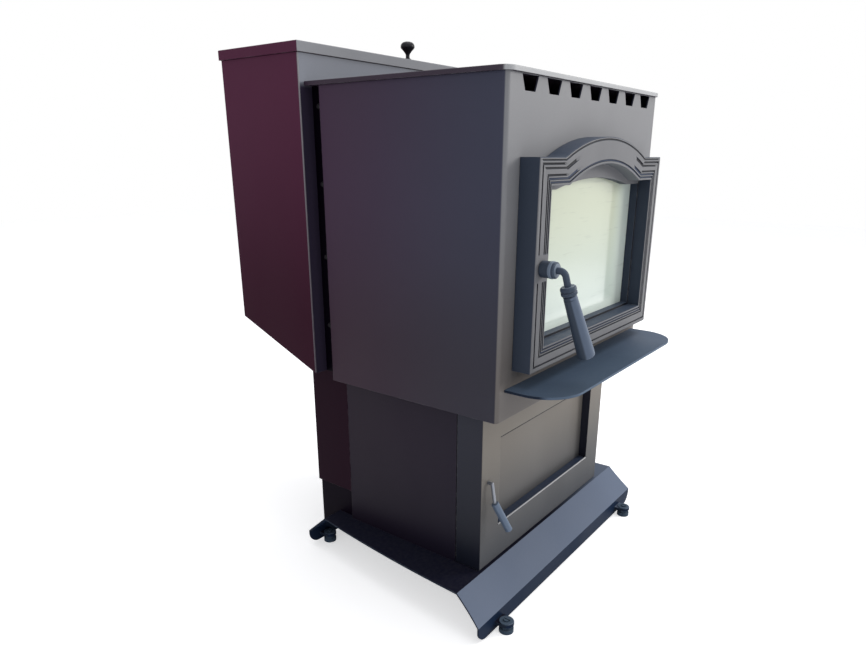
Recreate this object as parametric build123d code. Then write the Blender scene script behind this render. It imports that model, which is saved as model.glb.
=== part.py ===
from build123d import *
import math
import os

# A free-standing pellet stove.  Millimetres, +Z up, the front faces -Y.
# All pieces are drawn about the front face of the casing (Y = 0) and the floor (Z = 0),
# then moved by ORIGIN_SHIFT so that the origin is the bottom centre of the whole stove.

# ---------------------------------------------------------------- clearances
AIR_GAP = 0.3            # two bodies that nearly touch
RUNNING_GAP = 0.05       # radial, a pin or shaft in its bore
DOOR_REVEAL = 2.0        # around the ash door
CUT = 1.0                # how far a cutting shape runs past the face that it cuts

# ---------------------------------------------------------------- main sizes
CASING_HALF = 262.0
CASING_DEPTH = 347.0
CASING_HEIGHT = 487.0
PEDESTAL_HALF = 228.7
PEDESTAL_HEIGHT = 295.0
BASE_TOP_Z = 78.0
COVER_DEPTH = 90.0
HOPPER_DEPTH = 191.5
MOUNT_DEPTH = 28.3

CASING_REAR_Y = CASING_DEPTH
CASING_BOTTOM_Z = BASE_TOP_Z + PEDESTAL_HEIGHT
CASING_TOP_Z = CASING_BOTTOM_Z + CASING_HEIGHT
COVER_REAR_Y = CASING_REAR_Y + COVER_DEPTH

# ---------------------------------------------------------------- base
BASE_SHEET = 3.0
BASE_FRONT_RUN = 48.0
BASE_REAR_RUN = 48.4
BASE_TOE_Y = -7.0
BASE_TOE_Z = 33.7
BASE_LIP_Z = 3.0
BASE_TOE_HALF = 307.0
BASE_TOE_FLARE = 6.0
BASE_WAIST_INSET = 19.0
BASE_REAR_INSET = 42.3
LIP_CORNER_R = 24.0

FOOT_PAD_R = 12.5
FOOT_PAD_H = 7.0
FOOT_NUT_R = 9.5
FOOT_NUT_H = 6.5
FOOT_STUD_R = 5.0
FOOT_STUD_ABOVE_EAR = 4.2
FOOT_SLOT_DEPTH = 3.0
FOOT_SLOT_W = 2.0
FOOT_EAR_R = 13.0
FOOT_EAR_T = 5.0
FOOT_REACH = 15.0
FRONT_FOOT_INSET = 62.0
REAR_FOOT_INSET = 39.7

BASE_FOLD_Y = BASE_TOE_Y + BASE_FRONT_RUN
BASE_REAR_TOE_Y = COVER_REAR_Y
BASE_REAR_FOLD_Y = BASE_REAR_TOE_Y - BASE_REAR_RUN
BASE_FRONT_HALF = BASE_TOE_HALF - BASE_TOE_FLARE
BASE_WAIST_HALF = BASE_TOE_HALF - BASE_WAIST_INSET
BASE_REAR_HALF = BASE_TOE_HALF - BASE_REAR_INSET
FRONT_FOOT_X = BASE_TOE_HALF - FRONT_FOOT_INSET
REAR_FOOT_X = BASE_REAR_HALF - REAR_FOOT_INSET
FOOT_EAR_Z = FOOT_PAD_H + FOOT_NUT_H + AIR_GAP
FOOT_STUD_TOP_Z = FOOT_EAR_Z + FOOT_EAR_T + FOOT_STUD_ABOVE_EAR

# ---------------------------------------------------------------- pedestal and its rear cover
PEDESTAL_WALL = 3.0
PEDESTAL_FRONT_Y = 97.0
PEDESTAL_FLANGE = 11.7
PLINTH_INSET = 6.7
COVER_PROUD = 0.3
COVER_WALL = 1.5
VENT_COUNT = 5
VENT_PITCH = 14.0
VENT_H = 6.0
VENT_INSET = 29.0
VENT_LENGTH = 90.0
VENT_RISE = 137.0

PEDESTAL_TOP_Z = CASING_BOTTOM_Z
PEDESTAL_FLOOR_Z = BASE_TOP_Z + PEDESTAL_WALL
PLINTH_HALF = PEDESTAL_HALF - PLINTH_INSET
COVER_HALF = PEDESTAL_HALF + COVER_PROUD

# ---------------------------------------------------------------- casing (the painted shroud)
CASING_WALL = 2.5
CASING_CORNER_R = 8.0
TOP_PLATE_T = 6.6
TOP_OVERHANG = 5.0
TOP_CORNER_R = 17.0
EDGE_ROUND = 1.5
LOUVRE_PITCH = 67.8
LOUVRE_COUNT = 7
LOUVRE_DROP = 1.1
LOUVRE_HEIGHT = 20.4
LOUVRE_TOP_WIDTH = 44.0
LOUVRE_BOTTOM_WIDTH = 28.0
SHELF_LIFT = 46.0
SHELF_T = 4.0
SHELF_INSET = 19.0
SHELF_DEPTH = 97.0
SHELF_CORNER_R = 65.0
SHELF_GUSSET_REACH = 60.0
SHELF_GUSSET_DROP = 32.0
SHELF_GUSSET_T = 4.0

LOUVRE_TOP_Z = CASING_TOP_Z - LOUVRE_DROP
LOUVRE_BOTTOM_Z = LOUVRE_TOP_Z - LOUVRE_HEIGHT
SHELF_Z = CASING_BOTTOM_Z + SHELF_LIFT
SHELF_HALF = CASING_HALF - SHELF_INSET

# ---------------------------------------------------------------- loading door
DOOR_INSET = 38.0
DOOR_OVER_SHELF = 25.5
DOOR_HEIGHT = 306.2
DOOR_ARCH_HALF = 138.0
DOOR_ARCH_RISE = 30.3
ARCH_SHOULDER = 12.0
ARCH_FOOT_SHARE = 0.16   # of the arch's rise
DOOR_FRONT_Y = -32.5
DOOR_BACK_Y = -0.5
DOOR_STEP_Y = -10.0
DOOR_STILE = 37.0
DOOR_BOTTOM_RAIL = 35.5
DOOR_TOP_RAIL = 38.7
WINDOW_ARCH_HALF = 120.0
WINDOW_ARCH_RISE = 29.0
INNER_STEP = 4.0
INNER_TOP_STEP = 7.0
INNER_ARCH_RISE = 14.0
GLASS_LAP = 3.0
GLASS_TOP_LAP = 13.0
GLASS_T = 5.0
GLASS_FRONT_Y = 4.0
RING_WALL = 6.5
RETAINER_T = 2.4
RETAINER_H = 9.0
RETAINER_INSET = 40.0
RETAINER_GAP = 0.6
ROPE_DEPTH = 4.0
DOOR_ROPE_W = 6.0
DOOR_HINGE_OUT = 10.5
DOOR_HINGE_Y = -14.0
DOOR_HINGE_INSET = (63.5, 64.7)
DOOR_KNUCKLE_R = 7.5
DOOR_KNUCKLE_H = 26.0
DOOR_PIN_R = 4.0
HINGE_SEAT_H = 14.0
HINGE_WEB_HALF = 5.0
HINGE_WEB_LAP = 3.0
HINGE_FOOT_T = 4.0
HINGE_FOOT_DROP = 10.0
DOOR_BRACKET_REACH = 18.0
LATCH_INSET = 19.0
LATCH_ABOVE_MIDDLE = 1.4
LATCH_SHAFT_R = 3.5
LATCH_HUB_R = 12.0
LATCH_HUB_CHAMFER = 1.5
LATCH_FINGER_L = 16.0
LATCH_FINGER_W = 6.0
LATCH_FINGER_T = 5.0
LATCH_FINGER_TILT = 30.0
LATCH_FINGER_GAP = 1.0
LATCH_BOSS_R = 5.4
LATCH_KEEPER_REACH = 12.0
LATCH_KEEPER_W = 20.0
LATCH_KEEPER_T = 2.5
LATCH_KEEPER_Z = (-25.0, 40.0)
HANDLE_ROD_R = 5.0
HANDLE_REACH = 36.5
HANDLE_STEM = 12.0
HANDLE_COLLAR_OFFSET = (8.0, -5.5, -34.0)
HANDLE_GRIP_OFFSET = (38.0, -15.5, -96.0)
COLLAR_R = 12.0
COLLAR_LENGTH = 13.0
GRIP_TOP_R = 10.0
GRIP_END_R = 13.5

DOOR_HALF = CASING_HALF - DOOR_INSET
DOOR_BOTTOM_Z = SHELF_Z + SHELF_T + DOOR_OVER_SHELF
DOOR_TOP_Z = DOOR_BOTTOM_Z + DOOR_HEIGHT
WINDOW_HALF = DOOR_HALF - DOOR_STILE
WINDOW_BOTTOM_Z = DOOR_BOTTOM_Z + DOOR_BOTTOM_RAIL
WINDOW_TOP_Z = DOOR_TOP_Z - DOOR_TOP_RAIL
INNER_WINDOW_HALF = WINDOW_HALF - INNER_STEP
INNER_WINDOW_TOP_Z = WINDOW_TOP_Z - INNER_TOP_STEP
GLASS_HALF = WINDOW_HALF + GLASS_LAP
GLASS_BOTTOM_Z = WINDOW_BOTTOM_Z - GLASS_LAP
GLASS_TOP_Z = WINDOW_TOP_Z + GLASS_TOP_LAP
INNER_WINDOW_BOTTOM_Z = GLASS_BOTTOM_Z + GLASS_HALF - INNER_WINDOW_HALF
RING_BACK_Y = GLASS_FRONT_Y + GLASS_T + RETAINER_T + RETAINER_GAP
DOOR_HINGE_X = DOOR_HALF + DOOR_HINGE_OUT
DOOR_HINGE_Z = (DOOR_BOTTOM_Z + DOOR_HINGE_INSET[0], DOOR_TOP_Z - DOOR_HINGE_INSET[1])
LATCH_X = LATCH_INSET - DOOR_HALF
LATCH_Z = (DOOR_BOTTOM_Z + DOOR_TOP_Z) / 2 + LATCH_ABOVE_MIDDLE
LATCH_KEEPER_EDGE_X = LATCH_X - LATCH_KEEPER_REACH
HANDLE_ELBOW = (LATCH_X, DOOR_FRONT_Y - HANDLE_REACH, LATCH_Z)
HANDLE_HUB_Y = HANDLE_ELBOW[1] + HANDLE_STEM
HANDLE_COLLAR_END = tuple(a + b for a, b in zip(HANDLE_ELBOW, HANDLE_COLLAR_OFFSET))
HANDLE_GRIP_END = tuple(a + b for a, b in zip(HANDLE_COLLAR_END, HANDLE_GRIP_OFFSET))

# ---------------------------------------------------------------- air blower under the ash pan's rear
ROOM_HOUSING_R = 36.0
ROOM_HOUSING_HALF = 130.0
ROOM_HOUSING_WALL = 2.5
ROOM_END_WALL = 2.0
ROOM_OUTLET_INSET = 6.0
ROOM_OUTLET_Y = (-18.0, 6.0)
ROOM_INTAKE_Z = (-20.0, 4.0)
ROOM_FOOT_HALF = 12.0
ROOM_FOOT_T = 10.0
ROOM_HOUSING_GAP = 5.0
ROOM_HOUSING_LIFT = 11.0
ROOM_FAN_GAP = 8.0
ROOM_FAN_INSET = 5.0
ROOM_DISC_T = 2.0
ROOM_BLADE_COUNT = 12
ROOM_BLADE_DEPTH = 9.0
BLADE_T = 2.0
ROOM_MOTOR_R = 30.0
ROOM_MOTOR_LENGTH = 52.0
ROOM_MOTOR_FOOT_INSET = 6.0
MOTOR_BORE_DEPTH = 16.0
SHAFT_IN_MOTOR = 13.0
FAN_SHAFT_R = 4.0

ROOM_FAN_R = ROOM_HOUSING_R - ROOM_FAN_GAP
ROOM_FAN_Y = CASING_REAR_Y - PEDESTAL_WALL - ROOM_HOUSING_R - ROOM_HOUSING_GAP
ROOM_FAN_Z = PEDESTAL_FLOOR_Z + ROOM_HOUSING_R + ROOM_HOUSING_LIFT

# ---------------------------------------------------------------- ash door and ash pan
ASH_DEPTH = 50.1
ASH_SEAL_GAP = 1.6
ASH_FACE_T = 4.0
ASH_WALL = 3.0
ASH_EDGE_ROUND = 1.0
ASH_STILE = 54.7
ASH_BOTTOM_RAIL = 66.0
ASH_TOP_RAIL = 59.0
ASH_RECESS_DEPTH = 17.0
ASH_PANEL_T = 3.0
ASH_PANEL_LAP = 2.0
ASH_ROPE_W = 8.0
ASH_HINGE_OUT = 7.8
ASH_HINGE_FROM_REAR = 7.4
ASH_HINGE_INSET = (70.0, 71.0)
ASH_BRACKET_REACH = 40.0
ASH_BRACKET_DROP = 6.0
ASH_LATCH_INSET = 19.7
ASH_LATCH_ABOVE_MIDDLE = 15.5
ASH_LATCH_BOSS_R = 8.0
ASH_LATCH_BOSS_DEPTH = 22.0
ASH_ROD_R = 3.0
ASH_ROD_REACH = 8.0
ASH_FINGER_L = 12.0
ASH_FINGER_W = 5.0
ASH_FINGER_T = 5.0
ASH_FINGER_GAP = 3.0
ASH_GRIP_TOP_OFFSET = (3.0, -4.3, -36.0)
ASH_GRIP_END_OFFSET = (18.0, -19.0, -53.0)
ASH_GRIP_R = 6.5
ASH_GRIP_CHAMFER = 1.0
PAN_SIDE_GAP = 38.7
PAN_FRONT_GAP = 15.0
PAN_REAR_GAP = 7.0
PAN_HEIGHT = 105.0
PAN_SHEET = 2.0
BAIL_R = 3.0
BAIL_DROP = 10.0
BAIL_REACH = 66.0
BAIL_GAP = 1.0
BAIL_END_L = 5.0

ASH_REAR_Y = PEDESTAL_FRONT_Y - ASH_SEAL_GAP
ASH_FRONT_Y = ASH_REAR_Y - ASH_DEPTH
ASH_BOTTOM_Z = BASE_TOP_Z + DOOR_REVEAL
ASH_TOP_Z = CASING_BOTTOM_Z - DOOR_REVEAL
ASH_RECESS_HALF = PEDESTAL_HALF - ASH_STILE
ASH_RECESS_BOTTOM_Z = ASH_BOTTOM_Z + ASH_BOTTOM_RAIL
ASH_RECESS_TOP_Z = ASH_TOP_Z - ASH_TOP_RAIL
ASH_HINGE_X = PEDESTAL_HALF + ASH_HINGE_OUT
ASH_HINGE_Y = ASH_REAR_Y - ASH_HINGE_FROM_REAR
ASH_HINGE_Z = (ASH_BOTTOM_Z + ASH_HINGE_INSET[0], ASH_TOP_Z - ASH_HINGE_INSET[1])
ASH_LATCH_X = ASH_LATCH_INSET - PEDESTAL_HALF
ASH_LATCH_Z = (ASH_BOTTOM_Z + ASH_TOP_Z) / 2 + ASH_LATCH_ABOVE_MIDDLE
ASH_ELBOW = (ASH_LATCH_X, ASH_FRONT_Y - ASH_ROD_REACH, ASH_LATCH_Z)
ASH_GRIP_TOP = tuple(a + b for a, b in zip(ASH_ELBOW, ASH_GRIP_TOP_OFFSET))
ASH_GRIP_END = tuple(a + b for a, b in zip(ASH_GRIP_TOP, ASH_GRIP_END_OFFSET))
PAN_HALF = PEDESTAL_HALF - PAN_SIDE_GAP
PAN_FRONT_Y = PEDESTAL_FRONT_Y + PAN_FRONT_GAP
PAN_REAR_Y = ROOM_FAN_Y - ROOM_HOUSING_R - PAN_REAR_GAP
PAN_RIM_Z = PEDESTAL_FLOOR_Z + PAN_HEIGHT
BAIL_PIVOT_Y = (PAN_FRONT_Y + PAN_REAR_Y) / 2
BAIL_PIVOT_Z = PAN_RIM_Z - BAIL_DROP

# ---------------------------------------------------------------- firebox
FIREBOX_OUT = 6.0
FIREBOX_WALL = 5.0
FIREBOX_REAR_GAP = 47.0
FIREBOX_TOP_GAP = 60.0
FLANGE_T = 6.0
FLANGE_MARGIN = 12.0
THROAT_INSET = 14.0
THROAT_SILL = 13.0
THROAT_DROP = 27.0
HEARTH_DROP = 24.0
CHUTE_INSET = 20.0
CHUTE_BEFORE_POT = 32.0
CHUTE_DEPTH = 122.0
TUBE_R = 16.0
TUBE_WALL = 2.0
TUBE_COUNT = 7
TUBE_PITCH = 48.0
TUBE_DROP = 33.0
POT_HALF = 62.0
POT_LENGTH = 145.0
POT_WALL = 8.0
POT_HEIGHT = 88.0
POT_LIP_DROP = 22.0
POT_FLOOR_T = 12.0
POT_FLOOR_LENGTH = 60.0
POT_BOX_DEPTH = 44.0
POT_BOX_H = 18.0
POT_DOOR_HALF = 22.0
POT_DOOR_Z = (5.0, 16.0)
POT_COVER_HALF = 30.0
POT_COVER_T = 3.0
POT_COVER_Z = (1.0, 22.0)
POT_SCREW_X = 23.0
POT_SCREW_NECK_L = 3.0
POT_SCREW_HEAD_L = 6.0
POT_SCREW_NECK_R = 3.0
POT_SCREW_HEAD_R = 6.0
POT_SCREW_Z = 11.0
IGNITER_X = 40.0
IGNITER_Z = 9.0
IGNITER_R = 5.0
IGNITER_LENGTH = 80.0
IGNITER_HOLE_EXTRA = 2.0
GUIDE_FRONT_INSET = 30.0
GUIDE_TOP_INSET = 70.0
GUIDE_H = 46.0
GUIDE_ROOF_T = 8.0
GUIDE_SLOT_HALF = 24.0
GUIDE_SLOT_FRONT = 90.0
GUIDE_SLOT_REAR = 40.0

FIREBOX_HALF = GLASS_HALF + FIREBOX_OUT
FIREBOX_FRONT_Y = RING_BACK_Y + ROPE_DEPTH
FIREBOX_INNER_FRONT_Y = FIREBOX_FRONT_Y + FLANGE_T
FIREBOX_REAR_Y = CASING_REAR_Y - FIREBOX_REAR_GAP
FIREBOX_INNER_REAR_Y = FIREBOX_REAR_Y - FIREBOX_WALL
FIREBOX_TOP_Z = CASING_TOP_Z - FIREBOX_TOP_GAP
FLANGE_HALF = GLASS_HALF + RING_WALL + FLANGE_MARGIN
DOOR_HOLE_Z = (GLASS_BOTTOM_Z - RING_WALL - FLANGE_MARGIN, GLASS_TOP_Z + RING_WALL + FLANGE_MARGIN)
THROAT_HALF = GLASS_HALF - THROAT_INSET
THROAT_BOTTOM_Z = GLASS_BOTTOM_Z + THROAT_SILL
THROAT_TOP_Z = GLASS_TOP_Z - THROAT_DROP
HEARTH_Z = THROAT_BOTTOM_Z - HEARTH_DROP
POT_FRONT_Y = FIREBOX_INNER_REAR_Y - POT_LENGTH
POT_TOP_Z = HEARTH_Z + POT_HEIGHT
CHUTE_HALF = PAN_HALF - CHUTE_INSET
CHUTE_FRONT_Y = POT_FRONT_Y - CHUTE_BEFORE_POT
CHUTE_REAR_Y = CHUTE_FRONT_Y + CHUTE_DEPTH
TUBE_Z = FIREBOX_TOP_Z - FIREBOX_WALL - TUBE_DROP

# ---------------------------------------------------------------- hopper and pellet feed
HOPPER_OUT = 15.0
HOPPER_RISE = 41.4
HOPPER_SHEET = 2.0
HOPPER_LIFT = 11.0
HOPPER_CLIMB = 79.0
HOPPER_MOUTH_DROP = 10.0
MOUNT_INSET = 12.0
MOUNT_WALL = 2.0
SCREW_R = 4.5
SCREW_TIP_R = 2.5
SCREW_H = 3.0
SCREW_COUNT = 4
SCREW_INSET = (86.0, 30.0)
FEED_LIFT = 46.0
FEED_R = 36.0
FEED_WALL = 4.0
FEED_PAST_THROAT = 16.0
AUGER_GAP = 3.0
AUGER_SHAFT_R = 9.0
AUGER_PITCH = 42.0
AUGER_BLADE_T = 4.0
AUGER_END_GAP = 4.0
AUGER_SHAFT_IN_MOTOR = 22.0
GEARBOX_BORE_DEPTH = 24.0
FEED_MOTOR_LENGTH = 62.0
FEED_MOTOR_HALF = 44.0
GEARBOX_ROUND = 8.0
FEED_MOTOR_SHARE = 0.7   # of the gearbox's half width
BIN_INSET = 5.0
BIN_SHEET = 2.0
BIN_THROAT_HALF = 30.0
BIN_THROAT_START = 44.7
BIN_THROAT_DEPTH = 42.0
BIN_THROAT_RISE = 4.0
FUNNEL_HEIGHT = 144.0
BIN_RIM_RISE = 4.0
BIN_RIM_GAP = 4.0
LID_HEIGHT = 15.7
LID_SHEET = 2.5
LID_OVERHANG = 3.0
LID_AXIS_OUT = 8.0
LID_AXIS_RISE = 6.0
LID_PIN_R = 3.0
LID_PIN_X = 170.0
LID_PIN_LENGTH = 60.0
LID_KNUCKLE_WALL = 2.5
LID_KNUCKLE_HALF = 10.0
LID_ARM_DROP = 14.0
LID_LEAF_Z = (-2.0, 4.0)
LID_ROPE_W = 6.0
LID_ROPE_INSET = 2.0
KNOB_R = 13.0
KNOB_STEM_R = 5.0
KNOB_HEIGHT = 31.0
KNOB_HEAD_H = 15.0
KNOB_FLARE = 4.0
KNOB_RIM_Z = (4.0, 8.0)
KNOB_SHOULDER_DROP = 2.0
KNOB_X = 2.0
KNOB_FROM_FRONT = 9.0

HOPPER_HALF = CASING_HALF + HOPPER_OUT
HOPPER_FRONT_Y = CASING_REAR_Y + MOUNT_DEPTH
HOPPER_REAR_Y = HOPPER_FRONT_Y + HOPPER_DEPTH
HOPPER_TOP_Z = CASING_TOP_Z + TOP_PLATE_T + HOPPER_RISE
HOPPER_LOW_FRONT_Z = CASING_BOTTOM_Z + HOPPER_LIFT
HOPPER_LOW_REAR_Z = HOPPER_LOW_FRONT_Z + HOPPER_CLIMB
MOUNT_HALF = CASING_HALF - MOUNT_INSET
FEED_Z = HEARTH_Z + FEED_LIFT
BIN_THROAT_Y = (HOPPER_FRONT_Y + BIN_THROAT_START, HOPPER_FRONT_Y + BIN_THROAT_START + BIN_THROAT_DEPTH)
BIN_THROAT_Z = FEED_Z + FEED_R + BIN_THROAT_RISE
BIN_NECK_Z = BIN_THROAT_Z + FUNNEL_HEIGHT
BIN_RIM_Z = HOPPER_TOP_Z + BIN_RIM_RISE
FEED_REAR_Y = BIN_THROAT_Y[1] + FEED_PAST_THROAT
FEED_CAP_Y = FEED_REAR_Y + FEED_WALL
AUGER_R = FEED_R - FEED_WALL - AUGER_GAP
LID_BOTTOM_Z = HOPPER_TOP_Z + AIR_GAP
LID_TOP_Z = LID_BOTTOM_Z + LID_HEIGHT
LID_AXIS = (HOPPER_REAR_Y + LID_AXIS_OUT, HOPPER_TOP_Z + LID_AXIS_RISE)
LID_KNUCKLE_R = LID_PIN_R + LID_KNUCKLE_WALL
KNOB_TOP_Z = LID_TOP_Z + KNOB_HEIGHT

# ---------------------------------------------------------------- exhaust, air inlet and electrics
EXHAUST_DRUM_R = 62.0
EXHAUST_LIFT = 6.0
EXHAUST_TOP_DROP = 28.0
EXHAUST_WALL = 2.5
EXHAUST_DEPTH = 48.0
EXHAUST_REAR_GAP = 17.0
EXHAUST_EYE_R = 36.0
EXHAUST_FAN_GAP = 12.0
EXHAUST_DISC_GAP = 6.0
EXHAUST_DISC_T = 2.0
EXHAUST_HUB_R = 9.0
EXHAUST_HUB_L = 12.0
EXHAUST_BLADE_L = 28.0
EXHAUST_BLADE_COUNT = 6
EXHAUST_MOTOR_R = 32.0
EXHAUST_MOTOR_GAP = 4.5
OUTLET_OVER_MOTOR = 8.0
FLUE_COLLAR_R = 50.8
COLLAR_STEP = 1.0
PIPE_WALL = 1.5
FLUE_BELOW = 5.2
FLUE_ABOVE = 6.2
FLUE_BESIDE = 4.2
FLUE_COLLAR_L = 73.0
FLUE_REACH = 176.0
BEAD_L = 4.0
BEAD_H = 3.0
INLET_X = 130.0
INLET_DROP = 7.0
INLET_COLLAR_R = 30.15
INLET_COLLAR_L = 45.0
INLET_REACH = 83.0
FLAP_T = 1.5
FLAP_LAP = 2.85
FLAP_PIN_R = 1.5
FLAP_EAR_T = 3.0
FLAP_EAR_HALF = 4.0
FLAP_HANGER_HALF = 20.0
FLAP_HANGER_DROP = 13.0
SOCKET_X = -150.0
SOCKET_DROP = 5.0
SOCKET_HALF = (14.0, 10.0)
SOCKET_WALL = 2.0
SOCKET_RIM = 4.0
SOCKET_RIM_T = 2.5
SOCKET_BODY_L = 24.0
SOCKET_FLOOR = 7.0
SOCKET_PIN_HALF = (1.0, 2.0)
SOCKET_PIN_PITCH = 7.0
SOCKET_PIN_OFFSET = 2.5
SOCKET_PIN_INSET = 3.0
PANEL_DROP = 108.0
PANEL_START = 54.7
PANEL_DEPTH = 90.0
PANEL_T = 3.0
PANEL_ROUND = 6.0
PANEL_BELOW_SWITCH = 24.0
DIAL_DROP = 38.0
DIAL_PITCH = 54.0
SWITCH_PITCH = 44.0
DIAL_R = 19.0
DIAL_TAPER = 3.0
DIAL_H = 12.0
DIAL_RIB_H = 4.0
DIAL_RIB_HALF = 3.0
DIAL_RIB_INSET = 4.0
DIAL_STEM_R = 3.0
SWITCH_WELL_HALF = (6.0, 11.0)
SWITCH_HALF = 5.5
SWITCH_AXLE_R = 3.0
SWITCH_TIP = (5.0, 8.5)
SWITCH_WAIST = 3.0

EXHAUST_REAR_Y = COVER_REAR_Y - EXHAUST_REAR_GAP
EXHAUST_DRUM_END_Y = CASING_REAR_Y + EXHAUST_DEPTH
EXHAUST_FAN_R = EXHAUST_DRUM_R - EXHAUST_FAN_GAP
EXHAUST_MOTOR_REAR_Y = COVER_REAR_Y - COVER_WALL - EXHAUST_MOTOR_GAP
FLUE_PIPE_R = FLUE_COLLAR_R - COLLAR_STEP
EXHAUST_HALF = FLUE_PIPE_R + FLUE_BESIDE
EXHAUST_TOP_Z = HOPPER_LOW_FRONT_Z - EXHAUST_TOP_DROP
FLUE_Z = EXHAUST_TOP_Z - FLUE_ABOVE - FLUE_PIPE_R
OUTLET_BOTTOM_Z = FLUE_Z - FLUE_PIPE_R - FLUE_BELOW
EXHAUST_Z = OUTLET_BOTTOM_Z - OUTLET_OVER_MOTOR - EXHAUST_MOTOR_R
PLINTH_TOP_Z = EXHAUST_Z - EXHAUST_DRUM_R - EXHAUST_LIFT
FLUE_END_Y = COVER_REAR_Y + FLUE_REACH
INLET_Z = EXHAUST_Z - INLET_DROP
INLET_PIPE_R = INLET_COLLAR_R - COLLAR_STEP
INLET_END_Y = COVER_REAR_Y + INLET_REACH
FLAP_R = INLET_COLLAR_R + FLAP_LAP
FLAP_AXIS_Y = CASING_REAR_Y - PEDESTAL_WALL - AIR_GAP - FLAP_T - FLAP_PIN_R
FLAP_AXIS_Z = INLET_Z + FLAP_R + CUT
SOCKET_Z = EXHAUST_Z - SOCKET_DROP
PANEL_Y = (HOPPER_FRONT_Y + PANEL_START, HOPPER_FRONT_Y + PANEL_START + PANEL_DEPTH)
PANEL_MIDDLE_Y = sum(PANEL_Y) / 2
PANEL_TOP_Z = HOPPER_TOP_Z - PANEL_DROP
DIAL_Z = (PANEL_TOP_Z - DIAL_DROP, PANEL_TOP_Z - DIAL_DROP - DIAL_PITCH)
SWITCH_Z = DIAL_Z[1] - SWITCH_PITCH
PANEL_BOTTOM_Z = SWITCH_Z - PANEL_BELOW_SWITCH

# ---------------------------------------------------------------- origin
GRIP_LEAN = HANDLE_GRIP_OFFSET[1] / math.hypot(*HANDLE_GRIP_OFFSET)
GRIP_FRONT_Y = HANDLE_GRIP_END[1] - GRIP_END_R * math.sqrt(1 - GRIP_LEAN**2)
ORIGIN_SHIFT = (0, -(GRIP_FRONT_Y + FLUE_END_Y) / 2, 0)


# ================================================================ helpers
def block(x_span, y_span, z_span):
    """A box between three pairs of limits."""
    sizes = [span[1] - span[0] for span in (x_span, y_span, z_span)]
    middle = [(span[1] + span[0]) / 2 for span in (x_span, y_span, z_span)]
    return Pos(*middle) * Box(*sizes)


def rod(start, end, radius, end_radius=None):
    """A round bar or cone from one point to another."""
    axis = Vector(*end) - Vector(*start)
    plane = Plane(origin=start, z_dir=axis)
    middle_up = (Align.CENTER, Align.CENTER, Align.MIN)
    if end_radius is None:
        return plane * Cylinder(radius, axis.length, align=middle_up)
    return plane * Cone(radius, end_radius, axis.length, align=middle_up)


def rod_along_x(x_span, y, z, radius, end_radius=None):
    """A round bar or cone that runs along X."""
    return rod((x_span[0], y, z), (x_span[1], y, z), radius, end_radius)


def rod_along_y(x, z, y_span, radius, end_radius=None):
    """A round bar or cone that runs along Y."""
    return rod((x, y_span[0], z), (x, y_span[1], z), radius, end_radius)


def facing_front(outline, y_span):
    """A solid whose X-Z outline runs between two Y planes."""
    plane = Plane(origin=(0, y_span[1], 0), x_dir=(1, 0, 0), z_dir=(0, -1, 0))
    return extrude(plane * outline, amount=y_span[1] - y_span[0])


def facing_side(outline, x_span):
    """A solid whose Y-Z outline runs between two X planes."""
    plane = Plane(origin=(x_span[0], 0, 0), x_dir=(0, 1, 0), z_dir=(1, 0, 0))
    return extrude(plane * outline, amount=x_span[1] - x_span[0])


def facing_up(outline, z_span):
    """A solid whose X-Y outline runs between two Z planes."""
    return extrude(Pos(0, 0, z_span[0]) * outline, amount=z_span[1] - z_span[0])


def polygon(*points):
    """A flat face through the given corners."""
    return make_face(Polyline(*points, close=True))


def both_sides(half):
    return (-half, half)


def past(span):
    """The same limits moved apart, for a shape that cuts right through."""
    return (span[0] - CUT, span[1] + CUT)


def save(shape, name):
    """Moves a finished piece to the stove's origin and writes it."""
    export_step(Pos(*ORIGIN_SHIFT) * shape, "parts/" + name + ".step")


# ================================================================ base
def base_outline():
    """Plan of the base sheet: waisted sides that flare towards the front toe."""
    toe = (BASE_TOE_HALF, BASE_TOE_Y - CUT)
    flare = (BASE_FRONT_HALF + BASE_TOE_FLARE / 4, (BASE_FOLD_Y + BASE_TOE_Y) / 2)
    front = (BASE_FRONT_HALF, BASE_FOLD_Y)
    waist = (BASE_WAIST_HALF, (BASE_FOLD_Y + BASE_REAR_FOLD_Y) / 2)
    rear = (BASE_REAR_HALF, BASE_REAR_FOLD_Y)
    back = (BASE_REAR_HALF, BASE_REAR_TOE_Y + CUT)
    right = Line((0, toe[1]), toe) + ThreePointArc(toe, flare, front)
    right += ThreePointArc(front, waist, rear) + Line(rear, back) + Line(back, (0, back[1]))
    half = make_face(right + Line((0, back[1]), (0, toe[1])))
    return half + mirror(half, Plane.YZ)


def base_profile(lower_z):
    return polygon(
        (BASE_TOE_Y, lower_z),
        (BASE_TOE_Y, BASE_TOE_Z),
        (BASE_FOLD_Y, BASE_TOP_Z),
        (BASE_REAR_FOLD_Y, BASE_TOP_Z),
        (BASE_REAR_TOE_Y, BASE_TOE_Z),
        (BASE_REAR_TOE_Y, lower_z),
    )


def foot_places():
    """Name, X and Y of each levelling foot; the rear pair stands inside the rear lip."""
    front_y = BASE_TOE_Y - FOOT_REACH
    rear_y = BASE_REAR_TOE_Y - BASE_SHEET - FOOT_REACH
    return [
        ("front_left", -FRONT_FOOT_X, front_y),
        ("front_right", FRONT_FOOT_X, front_y),
        ("rear_left", -REAR_FOOT_X, rear_y),
        ("rear_right", REAR_FOOT_X, rear_y),
    ]


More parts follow.
